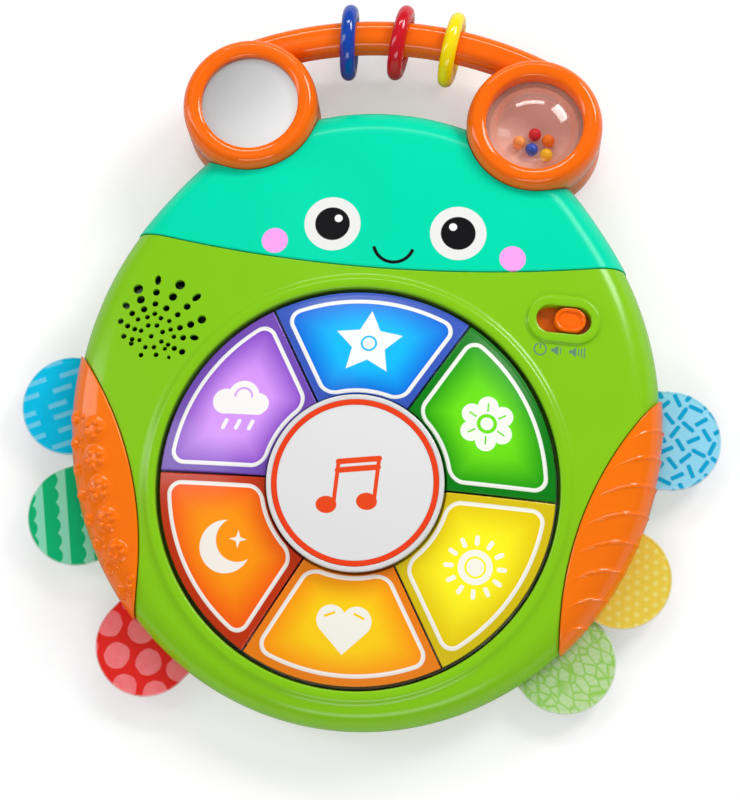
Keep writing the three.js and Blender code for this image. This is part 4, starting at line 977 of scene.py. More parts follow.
def front_shell():
    """The green casing: a lip round the wheel, the crowned face, the rolled edge, and the well inside."""
    turns = casing_turns()

    def inside(x, y):
        return (edge_inset(x, y) > 0) & (y < seam_y(x) - FIT / 2) & (grip_gap(x, y) > FIT / 2)

    edge = far_edge(turns, inside)
    free = np.clip(edge_inset(edge * np.cos(turns), edge * np.sin(turns)) / EDGE, 0, 1)

    rows = [wheel_ring(turns, reach, height) for reach, height in (
        (WHEEL_RADIUS - LEDGE, WELL_BOTTOM), (WHEEL_RADIUS - LEDGE, LEDGE_TOP), (WHEEL_RADIUS, LEDGE_TOP),
        (WHEEL_RADIUS, -6), (WHEEL_RADIUS, -1))]
    rows += [skin_points(turns, WHEEL_RADIUS + reach, lift=lift) for reach, lift in LIP]
    foot = WHEEL_RADIUS + LIP[-1][0]
    for share in np.linspace(0, 1, FACE_ROWS + 1)[1:]:
        distance = (edge - foot) * (1 - share) ** EASE
        rows.append(skin_points(turns, edge - distance, lift=-rounding(distance) * free))
    rows[-1][:, 2] = np.maximum(rows[-1][:, 2], SEAM_HEIGHT + SEAM_GAP)
    edge_height = rows[-1][:, 2]
    bottom = np.maximum(edge_height - 4, SEAM_HEIGHT)
    for closed_in, closed_height, open_in, open_height in (
            (0.1, SEAM_HEIGHT + SEAM_BEVEL, 0.0, edge_height - 0.8), (0.3, SEAM_HEIGHT, 0.0, edge_height - 2),
            (WALL, SEAM_HEIGHT, 0.0, bottom), (WALL, SEAM_HEIGHT, WALL, bottom)):
        rows.append(ray_points(turns, edge - closed_in * (1 - free) - open_in * free,
                               closed_height * (1 - free) + np.maximum(open_height, SEAM_HEIGHT) * free))
    well = WHEEL_RADIUS + WELL_WALL
    for share in np.linspace(0, 1, WELL_ROWS + 1)[1:]:
        rows.append(skin_points(turns, edge - WALL - (edge - WALL - well) * share ** 2, -WALL))
    rows += [wheel_ring(turns, well, -9), wheel_ring(turns, well, WELL_BOTTOM)]
    return grid(rows, loop_rows=True, loop_columns=True)


SWITCH_REACH, SWITCH_TURN = 112.1, math.radians(44.1)
SWITCH_X, SWITCH_Y = SWITCH_REACH * math.cos(SWITCH_TURN), SWITCH_REACH * math.sin(SWITCH_TURN)
SWITCH_LEAN = math.atan(2 * SWITCH_X * CROWN_FALL / (CROWN_REACH ** 2 - WHEEL_RADIUS ** 2))
SWITCH = (shift(SWITCH_X, SWITCH_Y, float(face_height(SWITCH_X, SWITCH_Y)))
          @ Matrix.Rotation(SWITCH_LEAN, 4, "Y"))
COLLAR, SLOT, KNOB, SLIDE = (31.0, 20.0), (23.3, 11.8), (13.3, 10.4), (32.4, 15.0)
KNOB_OFFSET = 2.65


def slot_rows(size, *grow_and_height):
    """Loops round a slot, each grown and raised by its own pair."""
    return [(stadium(*size, grow), height) for grow, height in grow_and_height]


def switch_collar():
    """Raised rim round the switch's slot."""
    rows = slot_rows(COLLAR, (0.9, -4.0), (0.9, -0.25), (0.6, 0.02), (0.3, 0.12), (0.05, 0.4), (0, 0.75),
                     (-0.12, 1.1), (-0.4, 1.38), (-0.9, 1.5), (-1.6, 1.5))
    rows += slot_rows(SLOT, (1.2, 1.55), (0.5, 1.5), (0.15, 1.3), (0, 0.95), (0, -4.0))
    return moved(grid(levels(rows), loop_rows=True, loop_columns=True), SWITCH)


# Rays of the grille: heading in degrees, first and last reach, number of holes, first and last radius, and
# the stretch of the last hole
GRILLE_RAYS = (
    (97, 93, 7.1, 22.0, 4, 1.1, 1.75, 1.65), (126, 118, 6.6, 19.9, 4, 1.1, 2.15, 1.0),
    (152, 144, 8.9, 17.0, 3, 1.05, 1.6, 1.3), (187, 169, 6.0, 15.6, 4, 1.05, 1.3, 1.0),
    (218, 195, 7.9, 13.7, 3, 1.0, 1.2, 1.0), (214, 214, 11.6, 11.6, 1, 1.1, 1.1, 1.0),
    (247, 247, 8.5, 12.3, 2, 1.05, 1.1, 1.0), (273, 279, 7.6, 11.0, 2, 1.05, 1.1, 1.0),
    (304, 302, 6.0, 13.8, 3, 1.05, 0.85, 1.2), (316, 325, 8.9, 15.6, 3, 1.05, 1.4, 1.0),
    (343, 352, 8.9, 17.5, 3, 1.05, 1.6, 1.5), (4, 16, 6.8, 20.5, 4, 1.05, 1.9, 1.0),
    (36, 43, 7.1, 22.4, 4, 1.05, 1.8, 1.55), (69, 67, 5.6, 22.2, 4, 1.1, 2.2, 1.0),
    (71, 71, 2.0, 2.0, 1, 1.1, 1.1, 1.0), (151, 151, 3.6, 3.6, 1, 1.1, 1.1, 1.0),
    (347, 347, 3.5, 3.5, 1, 1.1, 1.1, 1.0), (246, 246, 3.2, 3.2, 1, 1.1, 1.1, 1.0),
)
GRILLE_X, GRILLE_Y = middle("speaker_cone", 0) - 2.0, middle("speaker_cone", 1) - 3.6
RAY_EASE = 1.12                # how much further apart a ray's last holes lie


def perforations_tree():
    """Upright pegs on points, each as wide and as long as its point says: the grille's holes."""
    tree, wires = node_tree("perforations", Depth="Float", Sides="Int", Material="Material")
    start = wires["Geometry"]

    def said(name):
        return start.node("GeometryNodeInputNamedAttribute", {"data_type": "FLOAT"}, {"Name": name})

    peg = start.node("GeometryNodeMeshCylinder", {}, {
        "Vertices": wires["Sides"], "Radius": 1.0, "Depth": wires["Depth"]})
    size = start.node("ShaderNodeCombineXYZ", {}, {0: said("hole_length"), 1: said("hole_width"), 2: 1.0})
    heading = start.node("ShaderNodeCombineXYZ", {}, {2: said("hole_heading")})
    pegs = start.node("GeometryNodeInstanceOnPoints", {}, {
        "Points": start, "Instance": peg, "Rotation": heading, "Scale": size})
    end_tree(tree, pegs, wires["Material"])
    return tree


def grille_pegs():
    """Points of the grille's rays, with the size and heading of each hole."""
    places, widths, lengths, headings = [], [], [], []
    for first_turn, last_turn, first, last, count, small, large, stretch in GRILLE_RAYS:
        for i in range(count):
            share = i / max(1, count - 1)
            turn = math.radians(first_turn + (last_turn - first_turn) * share)
            reach = first + (last - first) * share ** RAY_EASE
            radius = small + (large - small) * share
            longer = stretch if i == count - 1 else 1.0
            places.append((GRILLE_X + reach * math.cos(turn), GRILLE_Y + reach * math.sin(turn), RIM_HEIGHT))
            widths.append(radius / math.sqrt(longer) * MM)
            lengths.append(radius * math.sqrt(longer) * MM)
            headings.append(turn)
    mesh = bpy.data.meshes.new("grille_points")
    mesh.from_pydata([[v * MM for v in place] for place in places], [], [])
    for name, values in (("hole_width", widths), ("hole_length", lengths), ("hole_heading", headings)):
        mesh.attributes.new(name, "FLOAT", "POINT").data.foreach_set("value", values)
    return grown("grille_pegs", perforations_tree(), mesh, Depth=40 * MM, Sides=28, Material=lime)


def make_front_casing():
    piece = mesh_object("front_casing_shell", front_shell())
    cut(piece, moved(closed_stack(slot_rows(COLLAR, (-1.5, -9.0), (-1.5, 9.0))), SWITCH))
    join(piece, switch_collar())
    combine(piece, grille_pegs(), "DIFFERENCE")
    return dressed(piece, lime, "casing", "front_casing")


def band(turns, near, far, grow, under, count, near_round, lift=None, foot=SEAM_HEIGHT):
    """A strip of skin between two edges, thick down to its underside, with rounded edges."""
    gap = far - near
    shares = both_ends(count)
    hem = np.minimum(WALL, 0.45 * gap)
    tops = np.array([skin_points(turns, near + gap * share, grow, -rounding(gap * share, near_round))
                     for share in shares])
    tops[..., 2] = np.maximum(tops[..., 2], foot + SEAM_GAP)
    if lift:
        tops = lift(tops, shares[:, None] * gap[None])
    rows = list(tops)
    rows += [ray_points(turns, far - 0.1, foot + SEAM_BEVEL), ray_points(turns, far - 0.3, foot),
             ray_points(turns, far - hem, foot)]
    for share in np.linspace(0, 1, UNDER_ROWS + 1)[1:]:
        row = skin_points(turns, far - hem - (gap - 2 * hem) * share ** 1.5, under)
        row[:, 2] = np.maximum(row[:, 2], foot)
        rows.append(row)
    bottom = np.maximum(tops[0][:, 2] - 3.5, foot)
    rows += [ray_points(turns, near + hem, bottom), ray_points(turns, near, bottom),
             ray_points(turns, near, (bottom + tops[0][:, 2]) / 2)]
    return strip(rows)


def pod_rods(radius, count):
    """An upright rod through the middle of each pod."""
    return [rod(radius, -5, 60, (side * POD_X, POD_Y), count) for side in (-1, 1)]


def make_face_panel():
    margin = math.radians(0.04)
    turns = spread(SEAM_TURN + margin, math.pi - SEAM_TURN - margin, 300)
    near = seam_edge(FIT / 2)(turns)
    far = outline_edge(PANEL_STEP)(turns)
    piece = mesh_object("face_panel_shell", band(turns, near, far, PANEL_STEP, -WALL, 64, 0.8))
    cut(piece, *pod_rods(POD_RADIUS + FIT, 192))
    return dressed(piece, teal, "casing", "face_panel")


def surface_normals(points):
    """Upward normals of a net of points."""
    across = np.gradient(points, axis=0)
    along = np.gradient(points, axis=1)
    normals = np.cross(across, along)
    normals /= np.maximum(np.linalg.norm(normals, axis=-1, keepdims=True), 1e-9)
    return normals * np.where(normals[..., 2:] < 0, -1, 1)


# Left grip: a row of large bumps with pearls on them, and a row of small ones along its edge
BUMP_RADIUS, BUMP_RISE, PEARL_RADIUS, PEARL_RISE = 6.0, 1.3, 1.35, 1.25
BUMP_SIZES = (1.0, 1.0, 1.0, 0.95, 0.85, 0.6)
BUMP_NORTH, BUMP_SPAN, BUMP_INSET = 15.5, 63.0, 10.0
PEARL_COUNT, PEARL_REACH = 5, 3.1
EDGE_BUMPS, EDGE_BUMP_FIRST, EDGE_BUMP_SPREAD, EDGE_BUMP_INSET = 8, 5.0, 36.0, 1.6
EDGE_BUMP_RADIUS, EDGE_BUMP_RISE = 3.8, 1.5
EDGE_PEARLS, EDGE_PEARL_REACH, EDGE_PEARL_SHIFT, EDGE_PEARL_RADIUS, EDGE_PEARL_RISE = 3, 1.9, 2.2, 1.2, 0.8


def dome(distance, radius, rise):
    share = np.clip(1 - (distance / radius) ** 2, 0, 1)
    return rise * share ** 0.75 * np.minimum(1, share * 4) ** 0.5


def outline_x(y):
    reach = np.where(y > CENTRE_Y, NORTH_REACH, SOUTH_REACH)
    return HALF_WIDTH * np.sqrt(1 - ((y - CENTRE_Y) / reach) ** 2)


def grip_x(y):
    return GRIP_X - np.sqrt(GRIP_RADIUS ** 2 - (y - GRIP_Y) ** 2)


def knobbles():
    """Places, radii and rises of the left grip's domes and of the small pearls on them."""
    made = []

    def on_skin(x, y):
        return np.array([x, y, float(skin(np.array(x), np.array(y), GRIP_PROUD))])

    for i, size in enumerate(BUMP_SIZES):
        y = BUMP_NORTH - BUMP_SPAN * i / (len(BUMP_SIZES) - 1)
        half_way = 0.5 * grip_x(y) + 0.5 * outline_x(y)
        x = -float(min(outline_x(y) - BUMP_INSET, max(outline_x(y) - BUMP_INSET - 0.5, half_way)))
        made.append((on_skin(x, y), BUMP_RADIUS * size, BUMP_RISE))
        reach = PEARL_REACH * size
        for k in range(PEARL_COUNT):
            turn = TAU * k / PEARL_COUNT + i * 0.9
            pearl = on_skin(x + reach * math.cos(turn), y + reach * math.sin(turn))
            made.append((pearl, PEARL_RADIUS, PEARL_RISE))
    for i in range(EDGE_BUMPS):
        turn = math.pi + math.radians(EDGE_BUMP_FIRST + EDGE_BUMP_SPREAD * i / (EDGE_BUMPS - 1))
        reach = float(outline_reach(np.array(turn))) - EDGE_BUMP_INSET
        x, y = reach * math.cos(turn), CENTRE_Y + reach * math.sin(turn)
        made.append((on_skin(x, y), EDGE_BUMP_RADIUS, EDGE_BUMP_RISE))
        for k in range(EDGE_PEARLS):
            swing = TAU * k / EDGE_PEARLS + i * 1.1
            place = on_skin(x + EDGE_PEARL_SHIFT + EDGE_PEARL_REACH * math.cos(swing),
                            y + EDGE_PEARL_REACH * math.sin(swing))
            made.append((place, EDGE_PEARL_RADIUS, EDGE_PEARL_RISE))
    return made


def raise_knobbles(points, from_near):
    """Domes on the left grip, which fade out towards its edges."""
    normals = surface_normals(points)
    height = np.zeros(points.shape[:2])
    for centre, radius, rise in knobbles():
        distance = np.linalg.norm(points - centre, axis=-1)
        height += dome(distance, radius, rise)
    fade = np.clip(np.minimum(from_near - 0.6, points[..., 2] - 12.6) / 1.2, 0, 1)
    return points + normals * (height * fade)[..., None]


RIDGE_COUNT = 8
RIDGE_NORTH, RIDGE_SOUTH, RIDGE_BOW = 36.0, -49.0, 9.0
CREST_RISE, CREST_WIDTH, LEAF_RISE = 0.5, 0.75, 0.7


def raise_ridges(points, _from_near):
    """Curved ribs like overlapping leaves, from the grip's inner edge out to its rim."""
    normals = surface_normals(points)
    x, y = points[..., 0], points[..., 1]
    inner, outer = grip_x(y), outline_x(y)
    along = np.clip((x - inner) / np.maximum(outer - inner, 1), 0, 1)
    level = y + RIDGE_BOW * (1 - along) ** 2
    pitch = (RIDGE_NORTH - RIDGE_SOUTH) / (RIDGE_COUNT - 1)
    number = (RIDGE_NORTH - level) / pitch
    whole = np.clip(np.round(number), 0, RIDGE_COUNT - 1)
    off = (number - whole) * pitch
    crest = CREST_RISE * np.exp(-((off / CREST_WIDTH) ** 2))
    leaf = LEAF_RISE * np.clip(1 - (number - np.floor(number)), 0, 1) ** 2
    leaf = np.where((number > 0) & (number < RIDGE_COUNT), leaf, 0)
    start = np.clip((x - inner - 2.0) / 7.0, 0, 1)
    rim = np.clip((points[..., 2] - 13.5) / 5.0, 0, 1)
    height = (crest * start + leaf * start) * rim
    return points + normals * height[..., None]


def make_grip(name, side):
    margin = math.radians(0.12)
    turns = spread(GRIP_SOUTH + margin, GRIP_NORTH - margin, 440)
    if side < 0:
        turns = math.pi - turns
    near = grip_edge(-FIT / 2)(turns)
    far = outline_edge(GRIP_PROUD)(turns)
    lift = raise_knobbles if side < 0 else raise_ridges
    shape = band(turns, near, far, GRIP_PROUD, FIT - GRIP_THICKNESS, 120, 1.0, lift, SEAM_HEIGHT + FIT)
    return dressed(mesh_object(f"{name}_pad", shape), rubber, "casing", name)


BACK_FOOT = 9.0
BAY_Y, DOOR_Y = 50.0, 52.5
BAY, BAY_WALL, BAY_CEILING = (63.0, 49.0), 1.6, 19.4
DOOR, DOOR_BOTTOM, DOOR_TOP = (68.0, 60.0), 0.4, 2.4
SCREW_HOLE, SCREW_HEAD, COUNTERBORE = 1.8, 2.8, 4.0
HEAD_HEIGHT, LOW_HEAD_HEIGHT, SCREW_SHANK, SCREW_PITCH = 1.8, 1.2, 1.5, 1.1
DOOR_SCREW_Y = BAY_Y + BAY[1] / 2 + BAY_WALL + SCREW_HOLE + FIT


def screw_places(kind, count):
    """Places on the plan of the numbered screws of one kind."""
    nodes = [f"{kind}_{i}" for i in range(1, count + 1)]
    return [(middle(node, 0), middle(node, 1)) for node in nodes]


CASE_SCREWS, HANDLE_SCREWS = screw_places("case_screw", 4), screw_places("handle_screw", 2)
BOARD_SCREWS, POD_SCREWS = screw_places("board_screw", 2), screw_places("pod_screw", 2)
POST_RADIUS, POST_TOP, BOSS_RADIUS = 3.6, 14, 4.4
BOARD_POST_RADIUS, BOARD_POST_TOP, BOARD_POST_X, BOARD_POST_Y, BOARD_Y = 2.6, 6.7, 31, 13, -46
TAB_WIDTH, TAB_REACH, TAB_BOTTOM, TAB_THICKNESS = 18.0, 16.0, 8.0, 3.0


def pod_heading(side):
    return math.atan2(CENTRE_Y - POD_Y, -side * POD_X)


def handle_tab(side, grow, top):
    """Flat tab of the handle, from a pod towards the casing's middle."""
    turn = pod_heading(side)
    inner, outer = POD_RADIUS - WALL, POD_RADIUS + TAB_REACH + grow
    reach = (inner + outer) / 2
    centre = (side * POD_X + reach * math.cos(turn), POD_Y + reach * math.sin(turn))
    return block(outer - inner, TAB_WIDTH + 2 * grow, TAB_BOTTOM - grow, top, centre, turn)


def tag_centre(turn, share):
    reach = float(outline_reach(np.array(turn))) + share * TAG_RADIUS
    return reach * math.cos(turn), CENTRE_Y + reach * math.sin(turn)


def tag_notch(name):
    """Room for a tag in the back casing's rim."""
    turn, share, level = TAGS[name]
    turn = math.radians(turn)
    x, y = tag_centre(turn, share)
    radius = TAG_RADIUS + FIT
    turns = np.linspace(-math.pi / 2, math.pi / 2, 40)
    round_end = np.column_stack([radius * np.cos(turns), radius * np.sin(turns)])
    back = -TAG_HOLD - 2 * FIT
    loop = np.vstack([[[back, -radius]], round_end, [[back, radius]]])
    bottom = TAG_TOP - level * (TAG_THICKNESS + 2 * FIT) - TAG_THICKNESS - FIT
    return moved(closed_stack([(loop, bottom), (loop, 30.0)]), shift(x, y) @ flat_turn(turn))


def make_back_casing():
    """The green back: a bowl with a flat foot, its posts and bosses, and the cuts for what goes in it."""
    turns = np.linspace(0, TAU, 480, endpoint=False)

    def loop(inset):
        reach = outline_reach(turns) - inset
        return np.column_stack([reach * np.cos(turns), CENTRE_Y + reach * np.sin(turns)])

    swing = np.radians(np.linspace(0, 90, 15))
    inner = [(loop(WALL + BACK_FOOT * (1 - math.sin(t))), WALL + (SEAM_HEIGHT - WALL) * (1 - math.cos(t)))
             for t in swing]
    outer = [(loop(BACK_FOOT * (1 - math.sin(t))), (SEAM_HEIGHT - SEAM_GAP) * (1 - math.cos(t)))
             for t in swing[::-1]]
    inner.insert(0, (loop(WALL + BACK_FOOT + 1), WALL))
    outer.append((loop(BACK_FOOT + 1), 0.0))
    rim = [(loop(0.3), SEAM_HEIGHT), (loop(SEAM_BEVEL), SEAM_HEIGHT - SEAM_BEVEL)]
    piece = mesh_object("back_casing_shell", closed_stack(inner + rim + outer))
    floor = WALL / 2
    join(piece, block(BAY[0] + 2 * BAY_WALL, BAY[1] + 2 * BAY_WALL, floor, BAY_CEILING, (0, BAY_Y)))
    join(piece, block(DOOR[0] + 4, DOOR[1] + 4, floor, WALL + BAY_WALL, (0, DOOR_Y)))
    join(piece, block(2 * POST_RADIUS, 2 * POST_RADIUS, floor, WALL + 3 * BAY_WALL, (0, DOOR_SCREW_Y + FIT)))
    join(piece, *[rod(POST_RADIUS, floor, POST_TOP, place, 32) for place in CASE_SCREWS])
    join(piece, *[rod(BOSS_RADIUS, floor, COUNTERBORE + floor, place, 32) for place in CASE_SCREWS])
    join(piece, *[rod(POST_RADIUS, floor, TAB_BOTTOM - FIT, place, 32) for place in HANDLE_SCREWS])
    board_posts = [(a * BOARD_POST_X, BOARD_Y + b * BOARD_POST_Y) for a in (-1, 1) for b in (-1, 1)]
    join(piece, *[rod(BOARD_POST_RADIUS, floor, BOARD_POST_TOP, place, 24) for place in board_posts])
    cut(piece, block(*BAY, -20, BAY_CEILING - BAY_WALL, (0, BAY_Y)))
    cut(piece, block(DOOR[0] + 2 * FIT, DOOR[1] + 2 * FIT, -WALL, WALL, (0, DOOR_Y)))
    cut(piece, *[rod(SCREW_HOLE, -20, 30, place, 32) for place in CASE_SCREWS],
        rod(SCREW_HOLE, -1, WALL + BAY_WALL, (0, DOOR_SCREW_Y), 32))
    cut(piece, *[rod(SCREW_HEAD + FIT, -20, COUNTERBORE, place, 48) for place in CASE_SCREWS])
    cut(piece, *[rod(SCREW_HOLE, WALL, 20, place, 24) for place in HANDLE_SCREWS],
        *[rod(SCREW_HOLE, 3.4, 20, place, 24) for place in BOARD_SCREWS])
    cut(piece, *pod_rods(POD_RADIUS + FIT, 192))
    for name in TAGS:
        cut(piece, tag_notch(name))
    cut(piece, *[handle_tab(side, FIT, 40) for side in (-1, 1)])
    return dressed(piece, lime_back, "casing", "back_casing")


def grooves_tree():
    """A straight row of bars, which cut the finger grooves of the battery door."""
    tree, wires = node_tree("door_grooves", Count="Int", First="Vector", Step="Vector", Size="Vector",
                            Material="Material")
    start = wires["Geometry"]
    line = start.node("GeometryNodeMeshLine", {}, {"Count": wires["Count"], "Start Location": wires["First"],
                                                   "Offset": wires["Step"]})
    bar = start.node("GeometryNodeMeshCube", {}, {"Size": wires["Size"]})
    bars = start.node("GeometryNodeInstanceOnPoints", {}, {"Points": line, "Instance": bar})
    end_tree(tree, bars, wires["Material"])
    return tree


def make_battery_door():
    """Door plate with rounded corners, five finger grooves and a sunk screw place."""
    half_x, half_y, corner = DOOR[0] / 2, DOOR[1] / 2, 4.0
    rounded = ((1.0, 0), (0.5, 0), (0.15, 0.15), (0, 0.5))   # insets of the edge, and distances from the face

    def loop(inset):
        points = []
        for a, b, first in ((1, 1, 0), (-1, 1, 90), (-1, -1, 180), (1, -1, 270)):
            points += arc((a * (half_x - corner), DOOR_Y + b * (half_y - corner)),
                          (corner - inset, corner - inset), first, first + 90, 8)
        return np.array(points)

    rows = [(loop(inset), DOOR_TOP - depth) for inset, depth in rounded]
    rows += [(loop(inset), DOOR_BOTTOM + depth) for inset, depth in rounded[::-1]]
    piece = mesh_object("battery_door_plate", closed_stack(rows))
    first = (0, (BAY_Y - DOOR[1] / 4) * MM, DOOR_BOTTOM * MM)
    size = (BAY[1] / 2 * MM, BAY_WALL / 2 * MM, 2 * MM)
    grooves = grown("grooves", grooves_tree(), None, Count=5, First=first, Step=(0, 2 * BAY_WALL * MM, 0),
                    Size=size, Material=lime_back)
    combine(piece, grooves, "DIFFERENCE")
    cut(piece, rod(SCREW_HOLE, -5, 5, (0, DOOR_SCREW_Y), 32))
    cut(piece, rod(SCREW_HEAD + FIT / 2, -5, DOOR_TOP - 0.6, (0, DOOR_SCREW_Y), 48))
    return dressed(piece, lime_back, "battery_door", "battery_door")


def screws_tree():
    """A screw that points down from its head: a domed head with a cross recess, and a threaded shank."""
    tree, wires = node_tree("pan_head_screw", Head="Float", Height="Float", Shank="Float", Length="Float",
                            Pitch="Float", Material="Material")
    start = wires["Geometry"]
    head, height, shank, shank_length, pitch = (
        wires[name] for name in ("Head", "Height", "Shank", "Length", "Pitch"))

    def placed(shape, lift):
        offset = start.node("ShaderNodeCombineXYZ", {}, {2: lift})
        return start.node("GeometryNodeTransform", {}, {"Geometry": shape, "Translation": offset})

    rim = placed(start.node("GeometryNodeMeshCylinder", {}, {
        "Vertices": 32, "Radius": head, "Depth": height * 0.5}), height * 0.25)
    crown = start.node("GeometryNodeMeshCone", {}, {
        "Vertices": 32, "Radius Top": head * 0.72, "Radius Bottom": head, "Depth": height * 0.5})
    cap = placed(crown, height * 0.5)
    slots = []
    for long, wide in ((1.2, 0.28), (0.28, 1.2)):
        size = start.node("ShaderNodeCombineXYZ", {}, {0: head * long, 1: head * wide, 2: height})
        slots.append(placed(start.node("GeometryNodeMeshCube", {}, {"Size": size}), height * 0.95))
    solid = start.node("GeometryNodeMeshBoolean", {"operation": "UNION", "solver": "EXACT"}, {
        "Mesh 2": (rim, cap)})
    recessed = start.node("GeometryNodeMeshBoolean", {"operation": "DIFFERENCE", "solver": "EXACT"}, {
        "Mesh 1": solid, "Mesh 2": tuple(slots)})
    core = placed(start.node("GeometryNodeMeshCylinder", {}, {
        "Vertices": 20, "Radius": shank * 0.82, "Depth": shank_length}), shank_length * -0.5)
    turns = shank_length * 0.9 / pitch
    helix = start.node("GeometryNodeCurveSpiral", {}, {
        "Resolution": 16, "Rotations": turns, "Start Radius": shank * 0.82, "End Radius": shank * 0.82,
        "Height": shank_length * 0.9})
    ridge = start.node("GeometryNodeCurvePrimitiveCircle", {}, {"Resolution": 6, "Radius": shank * 0.18})
    thread = start.node("GeometryNodeCurveToMesh", {}, {
        "Curve": helix, "Profile Curve": ridge, "Fill Caps": True})
    thread = placed(thread, shank_length * -0.95)
    whole = start.node("GeometryNodeJoinGeometry", {}, {0: (thread, core, recessed)})
    end_tree(tree, whole, wires["Material"])
    return tree


def make_screws():
    """Every screw, each in the place and at the length of its node."""
    tree, metal = screws_tree(), steel("screw_steel")
    for node in sorted(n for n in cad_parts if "screw" in n):
        head_up = node.startswith(("handle_screw", "board_screw"))
        bottom, top = low(node, 2), high(node, 2)
        head_height = LOW_HEAD_HEIGHT if node == "door_screw" else HEAD_HEIGHT
        shank_length = top - bottom - head_height
        piece = grown(f"{node}_steel", tree, None, Head=SCREW_HEAD * MM, Height=head_height * MM,
                      Shank=SCREW_SHANK * MM, Length=shank_length * MM, Pitch=SCREW_PITCH * MM,
                      Material=metal)
        level = top - head_height if head_up else bottom + head_height
        turn = Matrix.Identity(4) if head_up else Matrix.Rotation(math.pi, 4, "X")
        place = Matrix.Translation([middle(node, 0) * MM, middle(node, 1) * MM, level * MM])
        piece.data.transform(place @ turn)
        dressed(piece, metal, "battery_door" if node == "door_screw" else "casing", node)


# Keys and the centre button

KEY_CROWN, KEY_FALL = 14.28, 14.78
SKIRT_TOP, SKIRT_GAP, LIP_TOP = -2.6, 2.0, 8.0
HOLLOW_BOTTOM, HOLLOW_LIP, HOLLOW_GAP = -9.0, 5.8, 4.0
PLUNGER_RADIUS, PLUNGER_BOTTOM, PLUNGER_SHARE = 4.0, -6.6, 0.45


def key_dome(reach):
    return KEY_CROWN - KEY_FALL * (reach / KEY_OUTER) ** 2


def key_profile():
    """Reach, height, side gap, and whether the row is on the rounded top."""
    rows = [(KEY_LIP, KEY_SKIRT, SKIRT_GAP, 0), (KEY_LIP, SKIRT_TOP, SKIRT_GAP, 0)]
    rows += [(reach, height, KEY_GAP, 0) for reach, height in (
        (KEY_LIP, -2.5), (KEY_LIP, LIP_TOP), (KEY_INNER - 0.35, LIP_TOP), (KEY_INNER - 0.08, LIP_TOP + 0.1),
        (KEY_INNER, LIP_TOP + 0.5))]
    for reach, height in arc((KEY_INNER + EDGE, key_dome(KEY_INNER) - EDGE), (EDGE, EDGE), 180, 90, 5):
        rows.append((reach, height, KEY_GAP, 1))
    for reach in np.linspace(KEY_INNER + EDGE, KEY_OUTER - EDGE, 40)[1:]:
        rows.append((reach, key_dome(reach), KEY_GAP, 1))
    rim = key_dome(KEY_OUTER - EDGE) - EDGE
    for reach, height in arc((KEY_OUTER - EDGE, rim), (EDGE, EDGE), 90, 0, 5)[1:]:
        rows.append((reach, height, KEY_GAP, 1))
    return rows + [(KEY_OUTER, -2.0, KEY_GAP, 0), (KEY_OUTER, -2.5, KEY_GAP, 0),
                   (KEY_OUTER, SKIRT_TOP, SKIRT_GAP, 0), (KEY_OUTER, KEY_SKIRT, SKIRT_GAP, 0)]


def key_rows(profile):
    """Rows across a key's sector, for a profile of its reach, height and side gap."""
    half = math.pi / len(KEY_COLOURS)
    margins = np.array([0, 0.04, 0.1, 0.2, 0.34, 0.5, 0.8])
    rows = []
    for reach, height, gap, on_top in profile:
        side = half - np.arcsin((gap + margins) / reach)
        inner = np.linspace(-side[-1], side[-1], 31)[1:-1]
        turns = np.concatenate([-side, inner, side[::-1]])
        drop = np.concatenate([rounding(margins), np.zeros(len(inner)), rounding(margins)[::-1]])
        rows.append(np.column_stack([reach * np.cos(turns), reach * np.sin(turns), height - on_top * drop]))
    return rows


def make_key(index, colour_name):
    """A hollow domed sector with a skirt and a plunger."""
    matrix = WHEEL @ flat_turn(key_turn(index))
    piece = mesh_object(f"key_{colour_name}_cap", moved(strip(key_rows(key_profile())), matrix))
    inner, outer = KEY_INNER + KEY_WALL, KEY_OUTER - KEY_WALL
    hollow = [(KEY_LIP + KEY_WALL, HOLLOW_BOTTOM), (KEY_LIP + KEY_WALL, HOLLOW_LIP), (inner, HOLLOW_LIP)]
    hollow += [(reach, key_dome(reach) - KEY_WALL) for reach in np.linspace(inner, outer, 16)]
    hollow.append((outer, HOLLOW_BOTTOM))
    cut(piece, moved(strip(key_rows([(reach, height, HOLLOW_GAP, 0) for reach, height in hollow])), matrix))
    reach = KEY_INNER + PLUNGER_SHARE * (KEY_OUTER - KEY_INNER)
    plunger = rod(PLUNGER_RADIUS, PLUNGER_BOTTOM, key_dome(reach) - KEY_WALL / 2, (reach, 0.0), 32)
    join(piece, moved(plunger, matrix))
    return dressed(piece, key_film(index, colour_name), f"key_{colour_name}", f"key_{colour_name}", sharp=35)


def note_print(made, base):
    """Two joined notes, printed on the centre button."""
    x, y, _ = made.place(WHEEL @ flat_turn(math.radians(-2))).axes()
    ink = None
    for side in (-1.0, 1.0):
        u, v = x - side * 8.2 + 2.4, y - side * 1.6 + 9.0
        ring = length((u + v * 0.35) * 0.82, v - u * 0.25) - 3.7
        stem = capsule(x, y, (side * 8.2 + 0.6, side * 1.6 - 8.0), (side * 8.2 + 0.6, side * 1.6 + 9.0), 0.85)
        part = ring.least(stem)
        ink = part if ink is None else ink.least(part)
    for level in (9.2, 5.6):
        ink = ink.least(capsule(x, y, (-7.6, level - 1.6), (8.8, level + 1.6), 1.2))
    ring_edge = (length(x, y) - RING_INNER + 0.9).clipped() * 0.3
    base = ring_edge.between(base, rgb(200, 200, 200))
    return mask(ink).between(base, rgb(240, 72, 22))


